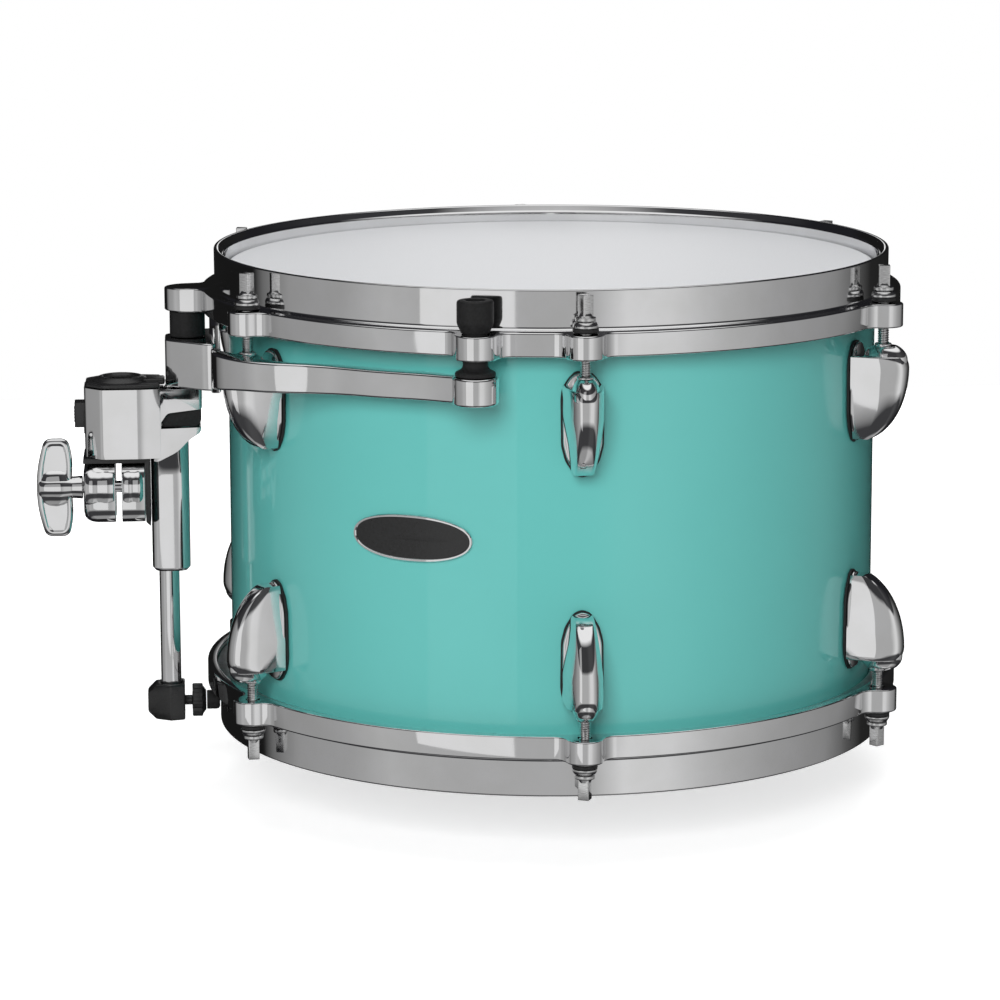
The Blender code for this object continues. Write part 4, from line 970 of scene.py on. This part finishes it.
def make_arc_bar():
    ring = [
        (3.4, EYE_TOP, 0.4), (EYE_RADIUS, EYE_TOP, 1.4),
        (EYE_RADIUS, EYE_LOW, 1.4), (3.4, EYE_LOW, 0.4),
    ]
    block = [
        (BLOCK_FACE, 9), (BLOCK_FACE - 2, 11.5),
        (BAR_FACE + 2.5, BLOCK_HALF - 1), (BAR_FACE - BAR_THICK / 2, BLOCK_HALF),
    ]
    shapes = [bar_surface(), prism(rounded(mirrored(block), 2.6), BLOCK_LOW, BLOCK_TOP, 1.3)]
    shapes += [turned(spun(ring, 1, 5, 64), eye_place(side)) for side in (-1, 1)]
    piece("arc_bar_casting", joined(*shapes), CHROME, MOUNT, "arc_bar", sharp=38)


def make_bushings():
    """Spool bushings with their bolts in the end ears, and the barrel bushing under the middle ear."""
    foot = EYE_TOP + GAP
    ear_top = FLANGE_TOP + GAP
    spool = [
        (4.3, BUSHING_TOP, 0.5), (BUSHING_RADIUS, BUSHING_TOP, 1.5),
        (BUSHING_RADIUS, ear_top + 4.2, 1), (BUSHING_RADIUS - 1.9, ear_top, 0.4),
        (5.4, ear_top, 0.2),
        *offset(0, foot, (5.4, 3.2, 1.8), (8.8, 1.6, 0.7), (8.8, 0, 0.3), (3.1, 0, 0.1)),
        *offset(0, BUSHING_TOP - 6.8, (3.1, 0, 0.1), (4.3, 0, 0.2)),
    ]
    seat = BUSHING_TOP - 6.5
    end = EYE_LOW + 1
    bolt = offset(0, seat, (0, 1.4, 0), (1.9, 1.4, 0.1), (1.9, 3.2, 0.2), (3.6, 3.2, 0.6), (3.6, 0, 0.2))
    bolt += offset(0, seat, (2.7, 0, 0.1)) + [(2.7, end, 0.3), (0, end, 0)]
    spool = mesh_of("spool_bushing", spun(spool, 1, 5, 72))
    bolt = mesh_of("bushing_bolt", spun(bolt, 0.3, 3, 48))
    for name, side in (("rear", -1), ("front", 1)):
        at = MOUNT @ eye_place(side)
        node = f"{name}_bushing"
        piece(f"{node}_spool", spool, RUBBER, at, node)
        piece(f"{node}_bolt_socket", bolt, WASHER_STEEL, at, f"{node}_bolt")
    barrel = [
        (0, FLANGE_LOW - GAP, 0), (BUSHING_RADIUS + 0.2, FLANGE_LOW - GAP, 0.8),
        (BUSHING_RADIUS + 0.2, BLOCK_TOP + GAP, 0.8), (0, BLOCK_TOP + GAP, 0),
    ]
    at = MOUNT @ eye_place(0)
    piece("middle_bushing_barrel", spun(barrel, 1, 4, 64), RUBBER, at, "middle_bushing")


def side_at(place):
    """Half width of the bracket between the barrel's flat front and the arm's tip."""
    return mix(BARREL_FLATS / 2, ARM_TIP_HALF, (BARREL_BEND - place) / (BARREL_BEND - ARM_TIP))


def barrel_outline(inset):
    """Outline of the L-rod barrel from above. Its long sides begin the slope that the arm goes on with."""
    half = BARREL_FLATS / 2 - inset
    corners = [
        (BARREL_AT + half, 9.4 - 0.4 * inset), (BARREL_AT + 9.4 - 0.4 * inset, half),
        (BARREL_BEND, half), (BARREL_BACK, side_at(BARREL_BACK) - inset, 0),
    ]
    return rounded(mirrored(corners), 1.8)


def tube_section(half, flare, level):
    """A square with round corners, widened across the mount by a flare."""
    section = []
    for x, y in circle(96):
        size = (abs(x) ** 3.6 + abs(y) ** 3.6) ** (-1 / 3.6)
        section.append((x * size * half, y * size * (half + flare), level))
    return section


def bore_at(place, radius, low, high):
    return turned(cylinder(radius, low, high), shifted(place))


def make_bracket():
    """Bracket casting: barrel, arm, mouth and stabiliser tube in one, with the pocket for the button."""
    inside = BARREL_BACK + 3
    heel = BARREL_BACK - 0.4
    arm_top = BARREL_TOP - 0.5
    arm = [
        (inside, arm_top, 0), (inside, MOUTH_LOW - 1, 0), (heel, MOUTH_LOW - 1, 0),
        (heel, MOUTH_LOW + 3, 0.6), (BARREL_BACK - 3.4, MOUTH_LOW + 7.2, 1.4),
        (ARM_TIP, ARM_LOW, 1.2), (ARM_TIP, arm_top, 0.8),
    ]
    lip = offset(ARM_TIP, MOUTH_LOW, (1, -2.5, 1.5), (0.4, 0, 0.6))
    shoulder = [
        (inside, MOUTH_LOW, 0), (inside, BARREL_LOW + 0.2, 0),
        (TUBE_AT + 8.2, BARREL_LOW - 4, 2), (TUBE_AT, TUBE_LOW + 24, 0),
        (TUBE_AT - 4.5, MOUTH_LOW - 11, 4),
        (TUBE_AT - TUBE_RADIUS - 0.4, MOUTH_LOW - 5, 2), *lip,
    ]
    web = [
        (inside, MOUTH_LOW, 0), (inside, BARREL_LOW + 0.1, 0),
        *offset(TUBE_AT, BARREL_LOW, (9.4, 0.1, 2), (6, -2, 2)),
        *offset(TUBE_AT, MOUTH_LOW, (-4, -11, 3), (-8.8, -6, 2)), *lip,
    ]
    plan = rounded(mirrored([(inside, side_at(inside)), (ARM_TIP, side_at(ARM_TIP), 1.5)]), 0)

    def within_plan(outline):
        whole = prism(plan, TUBE_LOW, BARREL_TOP)
        return boolean(slab(rounded(outline, 1), 20), ("INTERSECT", whole))

    flares = ((0.6, 4.4), (8, 3.9), (14, 2.4), (20, 0.9), (26, 0.2))
    levels = [(MOUTH_LOW - drop, 0, flare) for drop, flare in flares]
    levels += [(TUBE_LOW + 1.6, 0, 0), (TUBE_LOW, 1.3, 0)]
    tube = [tube_section(TUBE_RADIUS - inset, flare, level) for level, inset, flare in levels]
    pocket = box_outline(BARREL_FACE - 9, BARREL_FACE + 1, 5.4)
    shape = boolean(
        prism(barrel_outline(0), BARREL_LOW, BARREL_TOP),
        ("UNION", within_plan(web)),
        ("UNION", within_plan(arm)),
        ("UNION", slab(rounded(shoulder, 1), 7.2)),
        ("UNION", turned(sweep(tube), shifted(TUBE_AT))),
        ("DIFFERENCE", bore_at(STAY_AT, 5.4, TUBE_LOW - 1, STAY_TOP + 6)),
        ("DIFFERENCE", bore_at(L_ROD_AT, L_ROD_BORE, BARREL_LOW - 1, BARREL_TOP + 1)),
        ("DIFFERENCE", slab(pocket, 6.2, 0, "Z", BUTTON_HEIGHT)),
    )
    shape = soften(shape, 0.9, 3, 32)
    piece("bracket_casting", shape, CHROME, MOUNT, "mount_bracket", sharp=42)
    insert = [
        (ARM_TIP + 0.4, ARM_LOW - 0.45),
        *offset(BARREL_BACK, MOUTH_LOW, (-3.9, 6.7), (-0.7, 2.55), (-0.7, 0.3)),
        *offset(ARM_TIP, MOUTH_LOW, (2.6, 0.3), (0.4, 3.4)),
    ]
    wedge = slab(rounded(insert, 0.6, 3), INSERT_HALF, 0.4)
    piece("insert_wedge", wedge, RUBBER, MOUNT, "bracket_insert")


def make_cap():
    """Guide cap with its dome and the recess round the rod's mouth."""
    low = BARREL_TOP + GAP
    base = prism(barrel_outline(0.6), low, low + 1.7, 0.6)
    profile = [(L_ROD_BORE, low, 0), (L_ROD_BORE, low + 2.7, 0.3)]
    profile += offset(0, low, (7.6, 2.9, 0.4), (8.4, 4, 0.6), (9.8, 3.9, 1))
    profile += offset(0, low, (13.4, 2, 0.8), (13.4, 0.8, 0))
    dome = turned(spun(profile, 0.5, 4, 72, closed=False), shifted(L_ROD_AT))
    base = cut(base, bore_at(L_ROD_AT, L_ROD_BORE, low - 1, low + 8))
    tongue = prism(box_outline(BLOCK_FACE + 0.5, BARREL_AT - 8, 6), low + 0.2, low + 2.8, 0.8)
    piece("cap_dome", joined(base, dome, tongue), PLASTIC, MOUNT, "bracket_cap")


def make_button():
    """Lock button with its ribs, and the bezel on the barrel's facet beside it."""
    half = 5
    back, front = BARREL_FACE - 5.4, BARREL_FACE + 4.7
    outline = [(back, -half), (front, -half, 1.2), (front, half, 1.2), (back, half)]
    shapes = [slab(rounded(outline, 0.3, 3), 5.8, 0.8, "Z", BUTTON_HEIGHT)]
    for step in (-3, -1.5, 0, 1.5, 3):
        rib = box_outline(BARREL_FACE + 4.3, BARREL_FACE + 5, 3.6)
        shapes.append(slab(rib, 0.35, 0.2, "Z", BUTTON_HEIGHT + step))
    node = "lock_button"
    piece("button_cap", joined(*shapes), PLASTIC, MOUNT, node, node)
    facet = shifted(BARREL_AT) @ radial(45) @ shifted(BARREL_FLATS / 2, -4.4)
    bezel = prism(box_outline(-0.4, 0.9, 2.7), BUTTON_HEIGHT - 8.2, BUTTON_HEIGHT + 2, 0.4)
    piece("button_bezel", bezel, PLASTIC, MOUNT @ facet)


def jaw_outline():
    """Section of the clamp across its screw: round at the front and back like a thick collar."""
    front = SCREW_SIDE + 6.6
    rear = -14
    points = [(front, JAW_TOP, 9), (rear, JAW_TOP, 5), (rear, JAW_LOW, 5), (front, JAW_LOW, 9)]
    return rounded(points, 5, 10)


def clamp_boss(near, far):
    """Barrel round the screw between two distances from the drum's axis, waisted in the middle."""
    middle = (near + far) / 2
    line = [
        (0, near, 0), (BOSS_RADIUS - 0.6, near, 0.8), (BOSS_RADIUS, mix(near, middle, 0.5), 1.5),
        (BOSS_RADIUS - 0.5, middle, 2), (BOSS_RADIUS, mix(far, middle, 0.4), 1.5),
        (BOSS_RADIUS - 1.4, far, 1.2), (0, far, 0),
    ]
    return turned(spun(line, 1, 5, 64), shifted(0, SCREW_SIDE - 1.2, SCREW_HEIGHT) @ ALONG_X)


def make_clamp():
    """Seat, jaw and the black liner behind and above them."""
    bore = (L_ROD_AT, L_ROD_BORE, JAW_LOW - 1, JAW_TOP + 1)
    seat = soften(cut(prism(jaw_outline(), SEAT_BACK, SEAT_FACE, axis="X"), bore_at(*bore)), 0.9, 3, 32)
    seat = joined(seat, clamp_boss(SEAT_FACE - 0.4, SEAT_BACK + 0.6))
    piece("seat_casting", seat, CHROME, MOUNT, "clamp_seat", sharp=42)

    sections = []
    for out, size in ((0, 1), (8.6, 1), (11.2, 0.97), (13, 0.91), (14.2, 0.82), (14.7, 0.70)):
        x = JAW_FACE + out
        sections.append([(x, y * size, JAW_MIDDLE + (z - JAW_MIDDLE) * size) for y, z in jaw_outline()])
    jaw = soften(cut(sweep(sections), bore_at(*bore)), 0.9, 3, 45)
    boss = clamp_boss(JAW_FACE + 0.4, JAW_OUT - 0.3)
    root = JAW_OUT - 2
    collar = rounded([(0, root, 0), (7.6, root), (6.2, JAW_OUT), (0, JAW_OUT, 0)], 1)
    collar = turned(lathe(collar[:-1], 56), shifted(0, SCREW_SIDE, SCREW_HEIGHT) @ ALONG_X)
    jaw = joined(jaw, boss, collar)
    node = "clamp_jaw"
    piece("jaw_casting", jaw, CHROME, MOUNT, node, node, 42)

    liner_front, liner_low = LINER_BACK + LINER, LINER_TOP - LINER
    liner = [
        (LINER_BACK, LINER_TOP), (LINER_BACK, JAW_LOW - 1.6), (liner_front, JAW_LOW + 0.4, 0.6),
        (liner_front, liner_low, 0.8), (JAW_OUT, liner_low), (JAW_OUT, LINER_TOP),
    ]
    bore = bore_at(L_ROD_AT, L_ROD_BORE, JAW_TOP - 1, LINER_TOP + 1)
    liner = cut(slab(rounded(liner, 0.3, 3), LINER_HALF), bore)
    piece("liner_pad", soften(liner, 0.4, 2, 40), PLASTIC, MOUNT, "clamp_liner")


def wing_blade():
    """Both halves of the wing, waisted at their roots, with a soft rim round a recessed face."""
    half = WING_SPAN / 2
    blade = [
        (0.9, 0, 0), (0.2, 0.58 * half, 6), (2.2, half, 3.4),
        (0.78 * WING_WIDTH, half, 3.6), (WING_WIDTH, 0.36 * half, 9),
    ]
    ring = rounded(mirrored(blade), 2, 6)
    face = [(2.3, 3.8), (2.3, 2.9), (2.9, 2.4), (3.2, 1.9), (3.1, 1.2), (2.5, 0.4), (1.5, 0)]
    sections = []
    for level, inset in [(-a, b) for a, b in face] + face[::-1]:
        section = []
        for x, z in ring:
            z *= 1 - inset / half
            thin = 1 - 0.45 * max(0, abs(z) - 8) / (half - 8)
            section.append((mix(x, WING_WIDTH / 2, 2 * inset / WING_WIDTH), level * thin, z))
        sections.append(section)
    return sweep(sections)


def make_wing_screw():
    """Wing with a swelling root, its hub and the screw's shank."""
    root = [(0, 16.2), (6.6, 15.6), (8.8, 12.4), (9.2, 6), (7.6, 1.4), (0, 0.6)]
    root = turned(spun(root, 2.4, 4, 64), Matrix.Diagonal((1, 0.55, 1, 1)) @ ALONG_X)
    end = SEAT_BACK + 2.4 - WING_AT
    hub = [
        (0, 16.4, 0), (4.4, 16.2, 1.4), (5.6, 13, 2), (5.9, 6, 2), (5, 0.4, 1),
        (5.4, -4.2, 0.4), (2.7, -4.3, 0.1), (2.7, end, 0.3), (0, end, 0),
    ]
    wing = joined(wing_blade(), root, turned(spun(hub, 1, 5, 56), ALONG_X))
    at = MOUNT @ shifted(WING_AT, SCREW_SIDE, SCREW_HEIGHT)
    node = "wing_screw"
    piece("wing_casting", wing, CHROME, at, node, node, 42)


def make_stabiliser():
    """Rod, foot block, lobed thumb screw and rubber tip."""
    rod = [(0, STAY_TOP, 0), (STAY_RADIUS, STAY_TOP, 0.6), (STAY_RADIUS, STAY_END, 0.3), (0, STAY_END, 0)]
    at = MOUNT @ shifted(STAY_AT)
    piece("stay_rod", spun(rod, 1, 4, 64), CHROME, at, "stabiliser_rod", "stabiliser")

    sections = []
    lower = (FOOT_LOW, FOOT_SLOPE), (FOOT_LOW + FOOT_SLOPE, 0)
    upper = (FOOT_TOP - FOOT_SLOPE, 0), (FOOT_TOP, FOOT_SLOPE)
    for height, inset in lower + upper:
        outline = [(FOOT_OUT - inset, 5), (STAY_AT + 0.4, 9.2), (FOOT_FACE, 7.4)]
        sections.append([(x, y, height) for x, y in mirrored(outline)])
    foot = cut(sweep(sections), bore_at(STAY_AT, STAY_RADIUS + GAP, STAY_END, FOOT_TOP + 1))
    foot = soften(foot, 0.8, 3, 25)
    piece("foot_casting", foot, PLASTIC, MOUNT, "foot_block", "stabiliser")

    at = MOUNT @ shifted(0, 0, STAY_SCREW_HEIGHT) @ ALONG_X
    end = FOOT_FACE + 11
    knob = [
        (0, end, 0), (2.3, end, 0.2), (2.3, KNOB_BACK, 0.2), (4.2, KNOB_BACK, 0.5),
        (4.4, KNOB_BACK - 0.8, 0.3), (4.4, KNOB_FRONT + 1, 0.3), (0, KNOB_FRONT, 0),
    ]
    lobes = []
    for k in range(96):
        wave = 0.5 + 0.5 * math.cos(math.radians(360 * k / 96 * KNOB_LOBES))
        lobes.append(polar(6.8 + 1.15 * wave**0.6, 360 * k / 96))
    grip = soften(prism(lobes, KNOB_FRONT + 1.6, KNOB_BACK - 0.1), 0.6, 3, 50)
    nose = lathe([(7.2, KNOB_FRONT + 1.9), (4.6, KNOB_FRONT), (0, KNOB_FRONT)], 48)
    knob = joined(spun(knob, 1, 3, 48), grip, nose)
    node = "stabiliser_screw"
    piece("knob_casting", knob, PLASTIC, at, node, node)

    tip = [(0, TIP_BACK, 0), (4.5, TIP_BACK, 0.5), (4.5, TIP_FACE, 1.8), (0, TIP_FACE, 0)]
    node = "stabiliser_tip"
    piece("tip_pad", spun(tip, 1, 5, 48), RUBBER, at, node, node)


# Stage


def make_stage():
    """Pale floor below the stabiliser's lowest place. It keeps the shadow and glows to the camera."""
    shape = bmesh.new()
    bmesh.ops.create_grid(shape, x_segments=1, y_segments=1, size=FLOOR_HALF)
    floor = add_object("floor", mesh_of("floor", shape))
    floor.location.z = FLOOR
    floor.visible_glossy = False
    shader = Shader("floor", (FLOOR_TONE,) * 3, 0.9, Specular_IOR_Level=0.0, Emission_Color=WHITE)
    away = shader.value("VectorMath", shader.place, operation="LENGTH")
    glow = shader.value("MapRange", Value=away, From_Min=0.25, From_Max=0.9, To_Min=0.62, To_Max=1.0)
    seen = shader.node("LightPath").outputs["Is Camera Ray"]
    strength = shader.value("Math", glow, seen, operation="MULTIPLY")
    shader.feed(shader.bsdf, "Emission Strength", strength)
    floor.data.materials.append(shader.material)


def make_world():
    """White behind the drum, an even room for soft light, and for mirrors a studio with boxes and flags."""
    world = bpy.data.worlds.new("studio")
    made = Nodes(world)

    def blend(share, first, second):
        return made.value("Mix", data_type="RGBA", Factor=share, A=first, B=second)

    def greys(value, stops):
        return made.ramp(value, [(position, (grey,) * 3) for position, grey in stops])

    def by_height(stops):
        return greys(rise, [((math.sin(math.radians(angle)) + 1) / 2, grey) for angle, grey in stops])

    toward = made.node("SeparateXYZ", made.node("TexCoord").outputs["Generated"]).outputs
    front = made.value("Math", toward["Y"], -1.0, operation="MULTIPLY")
    bearing = made.value("Math", toward["X"], front, operation="ARCTAN2")
    turn = made.value("MapRange", Value=bearing, From_Min=-math.pi, From_Max=math.pi)
    rise = made.value("MapRange", Value=toward["Z"], From_Min=-1.0)
    around = greys(turn, [((angle + 180) / 360, grey) for angle, grey in STUDIO_ROUND])
    studio = blend(by_height(STUDIO_GAP), around, GAP_TONE)
    studio = blend(by_height(STUDIO_ROOF), studio, ROOF_TONE)
    path = made.node("LightPath").outputs
    light = blend(path["Is Glossy Ray"], ROOM_TONE, studio)
    for key in ("Is Camera Ray", "Is Transmission Ray"):
        light = blend(path[key], light, WHITE)
    made.feed(made.tree.nodes["Background"], "Color", light)
    bpy.context.scene.world = world


def add_lamp(name, place, target, size, power):
    """A soft box. Mirrors see the world's boxes in its stead."""
    lamp = bpy.data.lights.new(name, "AREA")
    lamp.shape = "RECTANGLE"
    lamp.size, lamp.size_y = size
    lamp.energy = power
    obj = add_object(name, lamp)
    obj.location = place
    obj.rotation_euler = (Vector(target) - Vector(place)).to_track_quat("-Z", "Y").to_euler()
    obj.visible_glossy = False
    return obj


def make_lights():
    for name, place, size, power in LAMPS:
        add_lamp(name, place, (0, 0, MID * MM), size, power)
    card = add_lamp("card", CARD_AT, Vector(CARD_AT) + Vector((0, 1, 0)), CARD_SIZE, CARD_POWER)
    card.visible_glossy = True
    card.visible_camera = False
    card.visible_diffuse = False


def make_camera():
    camera = add_object("camera", bpy.data.cameras.new("camera"))
    camera.data.lens = CAMERA_LENS
    camera.data.sensor_width = 36
    camera.data.clip_end = 50
    level = math.cos(CAMERA_TILT)
    forward = Vector((math.sin(CAMERA_PAN) * level, math.cos(CAMERA_PAN) * level, -math.sin(CAMERA_TILT)))
    turn = forward.to_track_quat("-Z", "Y").to_matrix().to_4x4()
    camera.matrix_world = Matrix.Translation(CAMERA_AT) @ turn @ Matrix.Rotation(CAMERA_ROLL, 4, "Z")
    bpy.context.scene.camera = camera


make_camera()
make_shell()
make_oval_plate()
make_heads()
make_hoops()
make_lugs()
make_rods()
make_arc_bar()
make_bushings()
make_bracket()
make_cap()
make_button()
make_clamp()
make_wing_screw()
make_stabiliser()
make_stage()
make_world()
make_lights()

bpy.context.scene.view_settings.view_transform = "Standard"
